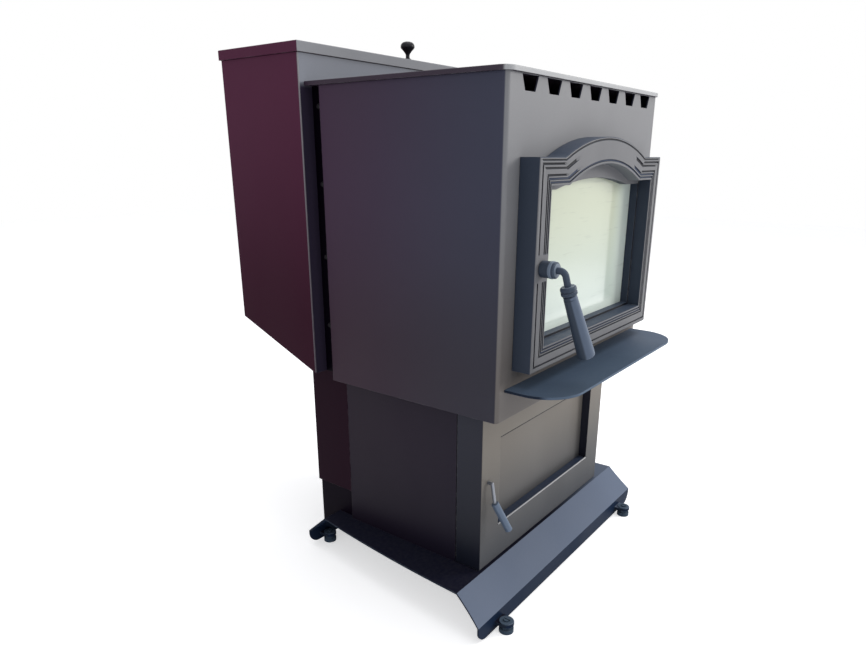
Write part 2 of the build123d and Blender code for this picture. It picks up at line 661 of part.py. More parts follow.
def base_plate():
    """Folded sheet with rounded lip corners and a drilled ear for each foot."""
    solid = base_profile(-BASE_TOP_Z)
    sheet = facing_side(solid - offset(solid, amount=-BASE_SHEET), both_sides(BASE_TOE_HALF))
    sheet &= facing_up(base_outline(), (BASE_LIP_Z, BASE_TOP_Z))
    for side in (-1, 1):
        for half, y_span in (
            (BASE_TOE_HALF, past((BASE_TOE_Y, BASE_TOE_Y + BASE_SHEET))),
            (BASE_REAR_HALF, past((BASE_REAR_TOE_Y - BASE_SHEET, BASE_REAR_TOE_Y))),
        ):
            inner_x = side * (half - LIP_CORNER_R)
            centre_z = BASE_LIP_Z + LIP_CORNER_R
            corner_x = sorted((inner_x, side * (half + CUT)))
            corner = block(corner_x, y_span, (BASE_LIP_Z - CUT, centre_z))
            corner -= rod((inner_x, y_span[0], centre_z), (inner_x, y_span[1], centre_z), LIP_CORNER_R)
            sheet -= corner
    ear_z = (FOOT_EAR_Z, FOOT_EAR_Z + FOOT_EAR_T)
    for name, x, y in foot_places():
        lip_y = BASE_TOE_Y + CUT if name.startswith("front") else BASE_REAR_TOE_Y - CUT
        neck = block((x - FOOT_EAR_R, x + FOOT_EAR_R), sorted((y, lip_y)), ear_z)
        ear = neck + rod((x, y, ear_z[0]), (x, y, ear_z[1]), FOOT_EAR_R)
        sheet += ear - rod((x, y, 0), (x, y, BASE_TOE_Z), FOOT_STUD_R + RUNNING_GAP)
    return sheet


def levelling_foot(x, y):
    """Pad, hexagon and slotted stud."""
    pad = rod((x, y, 0), (x, y, FOOT_PAD_H), FOOT_PAD_R)
    nut_outline = Pos(x, y) * RegularPolygon(FOOT_NUT_R, 6)
    nut = facing_up(nut_outline, (FOOT_PAD_H, FOOT_PAD_H + FOOT_NUT_H))
    stud = rod((x, y, FOOT_PAD_H), (x, y, FOOT_STUD_TOP_Z), FOOT_STUD_R)
    slot_x = (x - FOOT_SLOT_W / 2, x + FOOT_SLOT_W / 2)
    slot_z = (FOOT_STUD_TOP_Z - FOOT_SLOT_DEPTH, FOOT_STUD_TOP_Z + CUT)
    slot = block(slot_x, past((y - FOOT_STUD_R, y + FOOT_STUD_R)), slot_z)
    return pad + nut + stud - slot


# ================================================================ pedestal
def pedestal_shell():
    """Open-topped box with a flange round the mouth that the ash door closes."""
    y_span = (PEDESTAL_FRONT_Y, CASING_REAR_Y)
    outside = block(both_sides(PEDESTAL_HALF), y_span, (BASE_TOP_Z, PEDESTAL_TOP_Z))
    inner_half = PEDESTAL_HALF - PEDESTAL_WALL
    inner_y = (PEDESTAL_FRONT_Y + PEDESTAL_WALL, CASING_REAR_Y - PEDESTAL_WALL)
    inside = block(both_sides(inner_half), inner_y, (PEDESTAL_FLOOR_Z, PEDESTAL_TOP_Z + CUT))
    mouth_half = inner_half - PEDESTAL_FLANGE
    mouth_z = (PEDESTAL_FLOOR_Z + PEDESTAL_FLANGE, PEDESTAL_TOP_Z - PEDESTAL_WALL - PEDESTAL_FLANGE)
    mouth_y = past((PEDESTAL_FRONT_Y, PEDESTAL_FRONT_Y + PEDESTAL_WALL))
    mouth = block(both_sides(mouth_half), mouth_y, mouth_z)
    rear_wall = past((CASING_REAR_Y - PEDESTAL_WALL, CASING_REAR_Y))
    eye = rod_along_y(0, EXHAUST_Z, rear_wall, EXHAUST_EYE_R)
    air = rod_along_y(INLET_X, INLET_Z, rear_wall, INLET_COLLAR_R)
    return outside - inside - mouth - eye - air + flap_ears()


def flap_ears():
    """Two drilled ears inside the rear wall that carry the inlet flap's pin."""
    y_span = (FLAP_AXIS_Y - FLAP_EAR_HALF, CASING_REAR_Y - PEDESTAL_WALL)
    z_span = (FLAP_AXIS_Z - FLAP_EAR_HALF, FLAP_AXIS_Z + FLAP_EAR_HALF)
    ears = []
    for side in (-1, 1):
        inner_x = INLET_X + side * (FLAP_R + AIR_GAP)
        x_span = sorted((inner_x, inner_x + side * FLAP_EAR_T))
        bore = rod_along_x(past(x_span), FLAP_AXIS_Y, FLAP_AXIS_Z, FLAP_PIN_R + RUNNING_GAP)
        ears.append(block(x_span, y_span, z_span) - bore)
    return ears


def blower_plinth():
    """Dark sheet box under the rear cover, trimmed to the slope of the base."""
    y_span = (CASING_REAR_Y, BASE_REAR_TOE_Y)
    outside = block(both_sides(PLINTH_HALF), y_span, (0, PLINTH_TOP_Z))
    inner_y = (y_span[0] - CUT, y_span[1] - COVER_WALL)
    inside = block(both_sides(PLINTH_HALF - COVER_WALL), inner_y, (-CUT, PLINTH_TOP_Z - COVER_WALL))
    return outside - inside - facing_side(base_profile(-CUT), both_sides(PLINTH_HALF + CUT))


def rear_cover():
    """Box round the exhaust blower, open at the front, with vents and pipe holes in its rear."""
    y_span = (CASING_REAR_Y, COVER_REAR_Y)
    z_span = (PLINTH_TOP_Z, HOPPER_LOW_FRONT_Z)
    outside = block(both_sides(COVER_HALF), y_span, z_span)
    inner_z = (z_span[0] + COVER_WALL, z_span[1] - COVER_WALL)
    inner_y = (y_span[0] - CUT, y_span[1] - COVER_WALL)
    inside = block(both_sides(COVER_HALF - COVER_WALL), inner_y, inner_z)
    shell = outside - inside
    rear_wall = past((COVER_REAR_Y - COVER_WALL, COVER_REAR_Y))
    shell -= rod_along_y(0, FLUE_Z, rear_wall, FLUE_PIPE_R + AIR_GAP)
    shell -= rod_along_y(INLET_X, INLET_Z, rear_wall, INLET_PIPE_R + AIR_GAP)
    shell -= socket_body(0, rear_wall)
    vent_x = (VENT_INSET - COVER_HALF, VENT_INSET - COVER_HALF + VENT_LENGTH)
    for row in range(VENT_COUNT):
        vent_z = PLINTH_TOP_Z + VENT_RISE + row * VENT_PITCH
        shell -= block(vent_x, rear_wall, (vent_z, vent_z + VENT_H))
    return shell


# ================================================================ casing
def louvre(index):
    """Cutter for one air outlet, wider at its top."""
    middle = (index - (LOUVRE_COUNT - 1) / 2) * LOUVRE_PITCH
    top = LOUVRE_TOP_WIDTH / 2
    bottom = LOUVRE_BOTTOM_WIDTH / 2
    outline = polygon(
        (middle - bottom, LOUVRE_BOTTOM_Z),
        (middle + bottom, LOUVRE_BOTTOM_Z),
        (middle + top, LOUVRE_TOP_Z),
        (middle - top, LOUVRE_TOP_Z),
    )
    return facing_front(outline, past((0, CASING_WALL)))


def casing():
    """Painted shroud round the firebox, open at the top, with the latch's strike welded inside."""
    z_span = (CASING_BOTTOM_Z, CASING_TOP_Z)
    outside = block(both_sides(CASING_HALF), (0, CASING_REAR_Y), z_span)
    corners = outside.edges().filter_by(Axis.Z).sort_by(Axis.Y)[:2]
    outside = fillet(corners, CASING_CORNER_R)
    inner_y = (CASING_WALL, CASING_REAR_Y - CASING_WALL)
    inner_z = (CASING_BOTTOM_Z + CASING_WALL, CASING_TOP_Z + CUT)
    inside = block(both_sides(CASING_HALF - CASING_WALL), inner_y, inner_z)
    inner_corners = inside.edges().filter_by(Axis.Z).sort_by(Axis.Y)[:2]
    inside = fillet(inner_corners, CASING_CORNER_R - CASING_WALL)
    shell = outside - inside
    shell -= block((LATCH_KEEPER_EDGE_X, FLANGE_HALF), past((0, CASING_WALL)), DOOR_HOLE_Z)
    for index in range(LOUVRE_COUNT):
        shell -= louvre(index)
    floor_z = past((CASING_BOTTOM_Z, CASING_BOTTOM_Z + CASING_WALL))
    shell -= block(both_sides(CHUTE_HALF), (CHUTE_FRONT_Y, CHUTE_REAR_Y), floor_z)
    shell -= rod_along_y(0, FEED_Z, past((CASING_REAR_Y - CASING_WALL, CASING_REAR_Y)), FEED_R)
    return shell + latch_keeper()


def top_plate():
    rear_y = HOPPER_FRONT_Y - AIR_GAP
    plate = block(
        both_sides(CASING_HALF + TOP_OVERHANG),
        (-TOP_OVERHANG, rear_y),
        (CASING_TOP_Z, CASING_TOP_Z + TOP_PLATE_T),
    )
    plate = fillet(plate.edges().filter_by(Axis.Z).sort_by(Axis.Y)[:2], TOP_CORNER_R)
    return fillet(plate.faces().sort_by(Axis.Z)[-1].edges(), EDGE_ROUND)


def shelf():
    """Round-cornered ledge under the loading door, on two gussets."""
    plate = block(both_sides(SHELF_HALF), (-SHELF_DEPTH, 0), (SHELF_Z, SHELF_Z + SHELF_T))
    plate = fillet(plate.edges().filter_by(Axis.Z).sort_by(Axis.Y)[:2], SHELF_CORNER_R)
    arm = polygon((0, SHELF_Z), (-SHELF_GUSSET_REACH, SHELF_Z), (0, SHELF_Z - SHELF_GUSSET_DROP))
    for x in both_sides(SHELF_HALF / 2):
        plate += facing_side(arm, (x - SHELF_GUSSET_T / 2, x + SHELF_GUSSET_T / 2))
    return plate


def hopper_mount():
    """Narrow neck that carries the hopper on the back of the casing."""
    y_span = (CASING_REAR_Y, HOPPER_FRONT_Y)
    z_span = (HOPPER_LOW_FRONT_Z, CASING_TOP_Z)
    ring = block(both_sides(MOUNT_HALF), y_span, z_span)
    inner_z = (z_span[0] + MOUNT_WALL, z_span[1] - MOUNT_WALL)
    return ring - block(both_sides(MOUNT_HALF - MOUNT_WALL), past(y_span), inner_z)


def casing_screws():
    """Round heads along the two sides of the hopper mount."""
    heads = []
    middle_y = (CASING_REAR_Y + HOPPER_FRONT_Y) / 2
    first_z = HOPPER_LOW_FRONT_Z + SCREW_INSET[0]
    pitch = (CASING_TOP_Z - SCREW_INSET[1] - first_z) / (SCREW_COUNT - 1)
    for side in (-1, 1):
        x_span = (side * MOUNT_HALF, side * (MOUNT_HALF + SCREW_H))
        for index in range(SCREW_COUNT):
            heads.append(rod_along_x(x_span, middle_y, first_z + index * pitch, SCREW_R, SCREW_TIP_R))
    return Compound(heads)


# ================================================================ firebox
def firebox():
    """Welded box with a floor that drops into the ash chute, and a flange that the door seals on."""
    z_span = (CASING_BOTTOM_Z + CASING_WALL, FIREBOX_TOP_Z)
    front = FIREBOX_INNER_FRONT_Y
    shell = block(both_sides(FIREBOX_HALF), (front, FIREBOX_REAR_Y), z_span)
    inner_half = FIREBOX_HALF - FIREBOX_WALL
    inner_y = (front, FIREBOX_INNER_REAR_Y)
    shell -= block(both_sides(inner_half), inner_y, (HEARTH_Z, FIREBOX_TOP_Z - FIREBOX_WALL))
    shell -= block(both_sides(inner_half), inner_y, (z_span[0] - CUT, HEARTH_Z - FIREBOX_WALL))
    shell -= block(both_sides(CHUTE_HALF), (CHUTE_FRONT_Y, POT_FRONT_Y), (z_span[0] - CUT, HEARTH_Z + CUT))
    flange_y = (FIREBOX_FRONT_Y, front)
    shell += block(both_sides(FLANGE_HALF), flange_y, DOOR_HOLE_Z)
    shell += block(both_sides(FIREBOX_HALF), flange_y, z_span)
    shell -= block(both_sides(THROAT_HALF), past(flange_y), (THROAT_BOTTOM_Z, THROAT_TOP_Z))
    return shell - rod_along_y(0, FEED_Z, past((FIREBOX_INNER_REAR_Y, FIREBOX_REAR_Y)), FEED_R)


def heat_exchanger_tubes():
    """Room-air tubes across the top of the fire, between the firebox's front and rear walls."""
    y_span = (FIREBOX_INNER_FRONT_Y, FIREBOX_INNER_REAR_Y)
    tubes = []
    for index in range(TUBE_COUNT):
        x = (index - (TUBE_COUNT - 1) / 2) * TUBE_PITCH
        bore = rod_along_y(x, TUBE_Z, y_span, TUBE_R - TUBE_WALL)
        tubes.append(rod_along_y(x, TUBE_Z, y_span, TUBE_R) - bore)
    return Compound(tubes)


def burn_pot():
    """Cast trough whose floor climbs from the feed tube to the ash lip."""
    rear_y = FIREBOX_INNER_REAR_Y
    inner_half = POT_HALF - POT_WALL
    body = block(both_sides(POT_HALF), (POT_FRONT_Y, rear_y), (HEARTH_Z, POT_TOP_Z))
    floor = polygon(
        (POT_FRONT_Y - CUT, POT_TOP_Z - POT_LIP_DROP),
        (rear_y - POT_FLOOR_LENGTH, HEARTH_Z + POT_FLOOR_T),
        (rear_y + CUT, HEARTH_Z + POT_FLOOR_T),
        (rear_y + CUT, POT_TOP_Z + CUT),
        (POT_FRONT_Y - CUT, POT_TOP_Z + CUT),
    )
    body -= facing_side(floor, both_sides(inner_half))
    inner_y = POT_FRONT_Y + POT_WALL
    air_box_z = (HEARTH_Z - CUT, HEARTH_Z + POT_BOX_H)
    air_box = block(both_sides(inner_half), (inner_y, inner_y + POT_BOX_DEPTH), air_box_z)
    door_z = (HEARTH_Z + POT_DOOR_Z[0], HEARTH_Z + POT_DOOR_Z[1])
    door_hole = block(both_sides(POT_DOOR_HALF), past((POT_FRONT_Y, inner_y)), door_z)
    hole_y = (inner_y - CUT, inner_y + IGNITER_LENGTH + IGNITER_HOLE_EXTRA)
    igniter_hole = rod_along_y(IGNITER_X, HEARTH_Z + IGNITER_Z, hole_y, IGNITER_R + AIR_GAP)
    return body - air_box - door_hole - igniter_hole


def burn_pot_cover():
    """Clean-out cover on the front of the pot, with two thumb screws."""
    cover_y = POT_FRONT_Y - POT_COVER_T
    z_span = (HEARTH_Z + POT_COVER_Z[0], HEARTH_Z + POT_COVER_Z[1])
    pieces = [block(both_sides(POT_COVER_HALF), (cover_y, POT_FRONT_Y), z_span)]
    neck_y = (cover_y - POT_SCREW_NECK_L, cover_y)
    head_y = (neck_y[0] - POT_SCREW_HEAD_L, neck_y[0])
    screw_z = HEARTH_Z + POT_SCREW_Z
    for x in both_sides(POT_SCREW_X):
        neck = rod_along_y(x, screw_z, neck_y, POT_SCREW_NECK_R)
        pieces.append(neck + rod_along_y(x, screw_z, head_y, POT_SCREW_HEAD_R))
    return Compound(pieces)


def igniter():
    """Round heater rod under the pot's floor."""
    start_y = POT_FRONT_Y + POT_WALL
    return rod_along_y(IGNITER_X, HEARTH_Z + IGNITER_Z, (start_y, start_y + IGNITER_LENGTH), IGNITER_R)


def flame_guide():
    """Cast hood that stands on the rim of the pot."""
    rear_y = FIREBOX_INNER_REAR_Y
    top_z = POT_TOP_Z + GUIDE_H
    side_outline = polygon(
        (POT_FRONT_Y + GUIDE_FRONT_INSET, POT_TOP_Z),
        (rear_y, POT_TOP_Z),
        (rear_y, top_z),
        (POT_FRONT_Y + GUIDE_TOP_INSET, top_z),
    )
    hood = facing_side(side_outline, both_sides(POT_HALF))
    hollow_z = (POT_TOP_Z - CUT, top_z - GUIDE_ROOF_T)
    hood -= block(both_sides(POT_HALF - POT_WALL), (POT_FRONT_Y, rear_y + CUT), hollow_z)
    slot_y = (POT_FRONT_Y + GUIDE_SLOT_FRONT, rear_y - GUIDE_SLOT_REAR)
    return hood - block(both_sides(GUIDE_SLOT_HALF), slot_y, (POT_TOP_Z, top_z + CUT))


# ================================================================ pellet feed
def feed_tube():
    """Tube from the hopper's throat into the burn pot, with a bearing cap at its rear."""
    y_span = (FIREBOX_INNER_REAR_Y, FEED_REAR_Y)
    bore = rod_along_y(0, FEED_Z, y_span, FEED_R - FEED_WALL)
    body = rod_along_y(0, FEED_Z, y_span, FEED_R)
    body += block(both_sides(BIN_THROAT_HALF), BIN_THROAT_Y, (FEED_Z, BIN_THROAT_Z))
    body -= bore
    throat_x = both_sides(BIN_THROAT_HALF - FEED_WALL)
    throat_y = (BIN_THROAT_Y[0] + FEED_WALL, BIN_THROAT_Y[1] - FEED_WALL)
    body -= block(throat_x, throat_y, (FEED_Z, BIN_THROAT_Z + CUT))
    cap_y = (FEED_REAR_Y, FEED_CAP_Y)
    cap = rod_along_y(0, FEED_Z, cap_y, FEED_R)
    return body + cap - rod_along_y(0, FEED_Z, past(cap_y), AUGER_SHAFT_R + RUNNING_GAP)


def feed_auger():
    """Helical blade on a shaft that turns inside the feed tube."""
    start_y = FIREBOX_REAR_Y + AUGER_END_GAP
    end_y = FEED_REAR_Y - AUGER_END_GAP
    shaft = rod_along_y(0, FEED_Z, (start_y, FEED_CAP_Y + AUGER_SHAFT_IN_MOTOR), AUGER_SHAFT_R)
    length = end_y - start_y - AUGER_BLADE_T
    inner_r = AUGER_SHAFT_R - CUT
    path = Helix(AUGER_PITCH, length, inner_r)
    depth = AUGER_R - inner_r
    section = Plane(origin=(inner_r + depth / 2, 0, 0), x_dir=(1, 0, 0), z_dir=(0, 1, 0))
    blade = sweep(section * Rectangle(depth, AUGER_BLADE_T), path=path, is_frenet=True)
    place = Plane(origin=(0, start_y + AUGER_BLADE_T / 2, FEED_Z), x_dir=(1, 0, 0), z_dir=(0, 1, 0))
    return shaft + place * blade


def feed_motor():
    """Gear motor on the rear of the feed tube, with the bore that takes the auger's shaft."""
    half = FEED_MOTOR_HALF
    gearbox_y = (FEED_CAP_Y, FEED_CAP_Y + FEED_MOTOR_LENGTH / 2)
    gearbox = block(both_sides(half), gearbox_y, (FEED_Z - half, FEED_Z + half))
    gearbox = fillet(gearbox.edges().filter_by(Axis.Y), GEARBOX_ROUND)
    bore_y = (FEED_CAP_Y - CUT, FEED_CAP_Y + GEARBOX_BORE_DEPTH)
    gearbox -= rod_along_y(0, FEED_Z, bore_y, AUGER_SHAFT_R + RUNNING_GAP)
    motor_y = (gearbox_y[1], FEED_CAP_Y + FEED_MOTOR_LENGTH)
    return gearbox + rod_along_y(0, FEED_Z, motor_y, half * FEED_MOTOR_SHARE)


# ================================================================ hopper
def hopper_outline():
    """Side view of the hopper; its lower edge climbs towards the rear."""
    return polygon(
        (HOPPER_FRONT_Y, HOPPER_LOW_FRONT_Z),
        (HOPPER_REAR_Y, HOPPER_LOW_REAR_Z),
        (HOPPER_REAR_Y, HOPPER_TOP_Z),
        (HOPPER_FRONT_Y, HOPPER_TOP_Z),
    )


def hopper_side(side):
    """One side cover; the right one has a well for the rocker switch."""
    x_span = sorted((side * (HOPPER_HALF - HOPPER_SHEET), side * HOPPER_HALF))
    plate = facing_side(hopper_outline(), x_span)
    if side > 0:
        plate -= switch_well(x_span)
    return plate


def hopper_shell():
    """Front, rear and sloping bottom sheets between the two side covers."""
    inner_half = HOPPER_HALF - HOPPER_SHEET
    outline = hopper_outline()
    shell = facing_side(outline, both_sides(inner_half))
    shell -= facing_side(offset(outline, amount=-HOPPER_SHEET), both_sides(inner_half + CUT))
    inner_y = (HOPPER_FRONT_Y + HOPPER_SHEET, HOPPER_REAR_Y - HOPPER_SHEET)
    mouth_z = (HOPPER_TOP_Z - HOPPER_MOUTH_DROP, HOPPER_TOP_Z + CUT)
    shell -= block(both_sides(inner_half + CUT), inner_y, mouth_z)
    shell -= rod_along_y(0, FEED_Z, past((HOPPER_FRONT_Y, HOPPER_FRONT_Y + HOPPER_SHEET)), FEED_R)
    for x in both_sides(LID_PIN_X):
        knuckle = (x - LID_KNUCKLE_HALF, x + LID_KNUCKLE_HALF)
        shell += rod_along_x(knuckle, *LID_AXIS, LID_KNUCKLE_R)
        arm_z = (HOPPER_TOP_Z - LID_ARM_DROP, LID_AXIS[1] - LID_PIN_R - CUT)
        shell += block(knuckle, (inner_y[1], LID_AXIS[0]), arm_z)
        shell -= rod_along_x((x - LID_PIN_LENGTH, x + LID_PIN_LENGTH), *LID_AXIS, LID_PIN_R)
    return shell


def hopper_bin():
    """Pellet bin: straight walls above, a pyramid below, a rim that the lid closes on."""
    half = HOPPER_HALF - HOPPER_SHEET - BIN_INSET
    outer_y = (HOPPER_FRONT_Y + HOPPER_SHEET + BIN_INSET, HOPPER_REAR_Y - HOPPER_SHEET - BIN_INSET)
    inner_half = half - BIN_SHEET
    inner_y = (outer_y[0] + BIN_SHEET, outer_y[1] - BIN_SHEET)
    walls = block(both_sides(half), outer_y, (BIN_NECK_Z, BIN_RIM_Z))
    walls -= block(both_sides(inner_half), inner_y, past((BIN_NECK_Z, BIN_RIM_Z)))
    funnel = bin_pyramid(half, outer_y, 0) - bin_pyramid(inner_half, inner_y, BIN_SHEET)
    rim_y = (HOPPER_FRONT_Y + HOPPER_SHEET + AIR_GAP, LID_AXIS[0] - LID_KNUCKLE_R - BIN_RIM_GAP)
    rim_z = (BIN_RIM_Z - BIN_SHEET, BIN_RIM_Z)
    rim = block(both_sides(half), rim_y, rim_z)
    rim -= block(both_sides(inner_half), inner_y, past(rim_z))
    return walls + funnel + rim


def bin_pyramid(half, y_span, inset):
    """Tapered part of the bin, from its straight walls to the feed throat."""
    top = Pos(0, sum(y_span) / 2, BIN_NECK_Z) * Rectangle(2 * half, y_span[1] - y_span[0])
    throat_y = (BIN_THROAT_Y[0] + inset, BIN_THROAT_Y[1] - inset)
    throat_half = BIN_THROAT_HALF - inset
    bottom = Pos(0, sum(throat_y) / 2, BIN_THROAT_Z) * Rectangle(2 * throat_half, throat_y[1] - throat_y[0])
    return loft([bottom, top])


def lid_hinge_pins():
    half = LID_PIN_LENGTH / 2
    return Compound([rod_along_x((x - half, x + half), *LID_AXIS, LID_PIN_R) for x in both_sides(LID_PIN_X)])


def hopper_lid():
    """Folded tray over the hopper, hinged along its rear edge."""
    outer_half = HOPPER_HALF + LID_OVERHANG
    outer_y = (HOPPER_FRONT_Y - LID_OVERHANG, HOPPER_REAR_Y + LID_OVERHANG)
    tray = block(both_sides(outer_half), outer_y, (LID_BOTTOM_Z, LID_TOP_Z))
    tray = fillet(tray.faces().sort_by(Axis.Z)[-1].edges(), EDGE_ROUND)
    inner_y = (outer_y[0] + LID_SHEET, outer_y[1] - LID_SHEET)
    inner_z = (LID_BOTTOM_Z - CUT, LID_TOP_Z - LID_SHEET)
    tray -= block(both_sides(outer_half - LID_SHEET), inner_y, inner_z)
    reach = LID_PIN_LENGTH / 2
    gap = LID_KNUCKLE_HALF + AIR_GAP
    leaf_z = (LID_AXIS[1] + LID_LEAF_Z[0], LID_AXIS[1] + LID_LEAF_Z[1])
    for x in both_sides(LID_PIN_X):
        for knuckle in ((x - reach, x - gap), (x + gap, x + reach)):
            tray += block(knuckle, (inner_y[1], LID_AXIS[0]), leaf_z)
            tray += rod_along_x(knuckle, *LID_AXIS, LID_KNUCKLE_R)
        tray -= rod_along_x((x - 2 * reach, x + 2 * reach), *LID_AXIS, LID_PIN_R + RUNNING_GAP)
        notch_y = (inner_y[1] - CUT, LID_AXIS[0] + LID_KNUCKLE_R + CUT)
        tray -= block((x - gap, x + gap), notch_y, (inner_z[0], inner_z[1] - CUT))
    return tray


def lid_gasket():
    """Soft strip under the lid that meets the rim of the bin."""
    z_span = (BIN_RIM_Z + AIR_GAP, LID_TOP_Z - LID_SHEET)
    half = HOPPER_HALF - HOPPER_SHEET - BIN_INSET - CUT
    outer_y = (HOPPER_FRONT_Y + HOPPER_SHEET + LID_ROPE_INSET, LID_AXIS[0] - LID_KNUCKLE_R - BIN_RIM_GAP - CUT)
    inner_y = (outer_y[0] + LID_ROPE_W, outer_y[1] - LID_ROPE_W)
    ring = block(both_sides(half), outer_y, z_span)
    return ring - block(both_sides(half - LID_ROPE_W), inner_y, past(z_span))


def lid_knob():
    """Mushroom knob near the lid's front edge."""
    head_z = KNOB_TOP_Z - KNOB_HEAD_H
    outline = polygon(
        (0, LID_TOP_Z),
        (KNOB_STEM_R + KNOB_FLARE, LID_TOP_Z),
        (KNOB_STEM_R, LID_TOP_Z + KNOB_FLARE),
        (KNOB_STEM_R, head_z),
        (KNOB_R * 0.85, head_z),
        (KNOB_R, head_z + KNOB_RIM_Z[0]),
        (KNOB_R, head_z + KNOB_RIM_Z[1]),
        (KNOB_R * 0.8, KNOB_TOP_Z - KNOB_SHOULDER_DROP),
        (KNOB_R * 0.45, KNOB_TOP_Z),
        (0, KNOB_TOP_Z),
    )
    return Pos(KNOB_X, HOPPER_FRONT_Y + KNOB_FROM_FRONT, 0) * revolve(Plane.XZ * outline, Axis.Z)


# ================================================================ loading door
def arched_outline(half, bottom_z, top_z, arch_half, rise):
    """Rectangle with a shallow arch that grows out of its top edge."""
    shoulder = arch_half + ARCH_SHOULDER
    foot_z = top_z + rise * ARCH_FOOT_SHARE
    crown = ThreePointArc((-arch_half, foot_z), (0, top_z + rise), (arch_half, foot_z))
    right = Line((arch_half, foot_z), (shoulder, top_z)) + Line((shoulder, top_z), (half, top_z))
    right += Line((half, top_z), (half, bottom_z)) + Line((half, bottom_z), (-half, bottom_z))
    left = Line((-half, bottom_z), (-half, top_z)) + Line((-half, top_z), (-shoulder, top_z))
    left += Line((-shoulder, top_z), (-arch_half, foot_z))
    return make_face(crown + right + left)


def loading_door_frame():
    """Arched casting with a stepped window, a ring round the glass and two hinge knuckles."""
    outer = arched_outline(DOOR_HALF, DOOR_BOTTOM_Z, DOOR_TOP_Z, DOOR_ARCH_HALF, DOOR_ARCH_RISE)
    window = arched_outline(WINDOW_HALF, WINDOW_BOTTOM_Z, WINDOW_TOP_Z, WINDOW_ARCH_HALF, WINDOW_ARCH_RISE)
    inner = arched_outline(
        INNER_WINDOW_HALF, INNER_WINDOW_BOTTOM_Z, INNER_WINDOW_TOP_Z, WINDOW_ARCH_HALF, INNER_ARCH_RISE
    )
    frame = facing_front(outer, (DOOR_FRONT_Y, DOOR_BACK_Y))
    pocket_half = GLASS_HALF + AIR_GAP
    pocket_z = (GLASS_BOTTOM_Z - AIR_GAP, GLASS_TOP_Z + AIR_GAP)
    ring_z = (pocket_z[0] - RING_WALL, pocket_z[1] + RING_WALL)
    frame += block(both_sides(pocket_half + RING_WALL), (DOOR_BACK_Y, RING_BACK_Y), ring_z)
    frame -= facing_front(window, (DOOR_FRONT_Y - CUT, DOOR_STEP_Y))
    frame -= facing_front(inner, past((DOOR_STEP_Y, GLASS_FRONT_Y)))
    frame -= block(both_sides(pocket_half), (GLASS_FRONT_Y, RING_BACK_Y + CUT), pocket_z)
    bore_y = past((DOOR_FRONT_Y, DOOR_BACK_Y))
    frame -= rod_along_y(LATCH_X, LATCH_Z, bore_y, LATCH_SHAFT_R + RUNNING_GAP)
    return frame_with_knuckles(frame, DOOR_HINGE_X, DOOR_HINGE_Y, DOOR_HINGE_Z, DOOR_HALF)


def frame_with_knuckles(frame, x, y, heights, edge_x):
    """Adds a drilled knuckle and its web beside a door's edge at each height."""
    for z in heights:
        z_span = (z, z + DOOR_KNUCKLE_H)
        frame += rod((x, y, z_span[0]), (x, y, z_span[1]), DOOR_KNUCKLE_R)
        frame += block((edge_x - HINGE_WEB_LAP, x), (y - HINGE_WEB_HALF, y + HINGE_WEB_HALF), z_span)
        bore_z = (z_span[0] - HINGE_SEAT_H, z_span[1] + HINGE_SEAT_H)
        frame -= rod((x, y, bore_z[0]), (x, y, bore_z[1]), DOOR_PIN_R + RUNNING_GAP)
    return frame


def hinge_seat(x, y, z):
    """Fixed seat under a knuckle, with the upright pin that the knuckle drops on."""
    seat_z = (z - AIR_GAP - HINGE_SEAT_H, z - AIR_GAP)
    seat = rod((x, y, seat_z[0]), (x, y, seat_z[1]), DOOR_KNUCKLE_R)
    pin = rod((x, y, seat_z[0]), (x, y, z + DOOR_KNUCKLE_H + HINGE_FOOT_T), DOOR_PIN_R)
    return seat + pin, seat_z


def door_hinge_brackets():
    """Lift-off hinges on the front of the casing."""
    x = DOOR_HINGE_X
    y = DOOR_HINGE_Y
    brackets = []
    for z in DOOR_HINGE_Z:
        seat, seat_z = hinge_seat(x, y, z)
        arm = block((x - DOOR_KNUCKLE_R, x + DOOR_KNUCKLE_R), (y, 0), seat_z)
        foot_x = (x - DOOR_KNUCKLE_R, x + DOOR_BRACKET_REACH)
        foot = block(foot_x, (-HINGE_FOOT_T, 0), (seat_z[0] - HINGE_FOOT_DROP, seat_z[1]))
        brackets.append(seat + arm + foot)
    return Compound(brackets)


def door_glass():
    y_span = (GLASS_FRONT_Y, GLASS_FRONT_Y + GLASS_T)
    return block(both_sides(GLASS_HALF), y_span, (GLASS_BOTTOM_Z, GLASS_TOP_Z))


def glass_retainers():
    """Two bars behind the glass, screwed to the ends of its pocket."""
    start = GLASS_FRONT_Y + GLASS_T
    x_span = both_sides(GLASS_HALF - RETAINER_INSET)
    low = (GLASS_BOTTOM_Z - AIR_GAP, GLASS_BOTTOM_Z + RETAINER_H)
    high = (GLASS_TOP_Z - RETAINER_H, GLASS_TOP_Z + AIR_GAP)
    return Compound([block(x_span, (start, start + RETAINER_T), z_span) for z_span in (low, high)])


def door_gasket():
    """Rope seal on the rear of the ring, meeting the firebox flange."""
    y_span = (RING_BACK_Y, FIREBOX_FRONT_Y - AIR_GAP)
    outer_half = GLASS_HALF + RING_WALL
    outer_z = (GLASS_BOTTOM_Z - RING_WALL, GLASS_TOP_Z + RING_WALL)
    inner_z = (outer_z[0] + DOOR_ROPE_W, outer_z[1] - DOOR_ROPE_W)
    ring = block(both_sides(outer_half), y_span, outer_z)
    return ring - block(both_sides(outer_half - DOOR_ROPE_W), past(y_span), inner_z)


def latch_keeper():
    """Strike plate welded behind the casing's front wall, beside the latch finger."""
    x_span = (LATCH_KEEPER_EDGE_X - LATCH_KEEPER_W, LATCH_KEEPER_EDGE_X)
    y_span = (CASING_WALL, CASING_WALL + LATCH_KEEPER_T)
    return block(x_span, y_span, (LATCH_Z + LATCH_KEEPER_Z[0], LATCH_Z + LATCH_KEEPER_Z[1]))


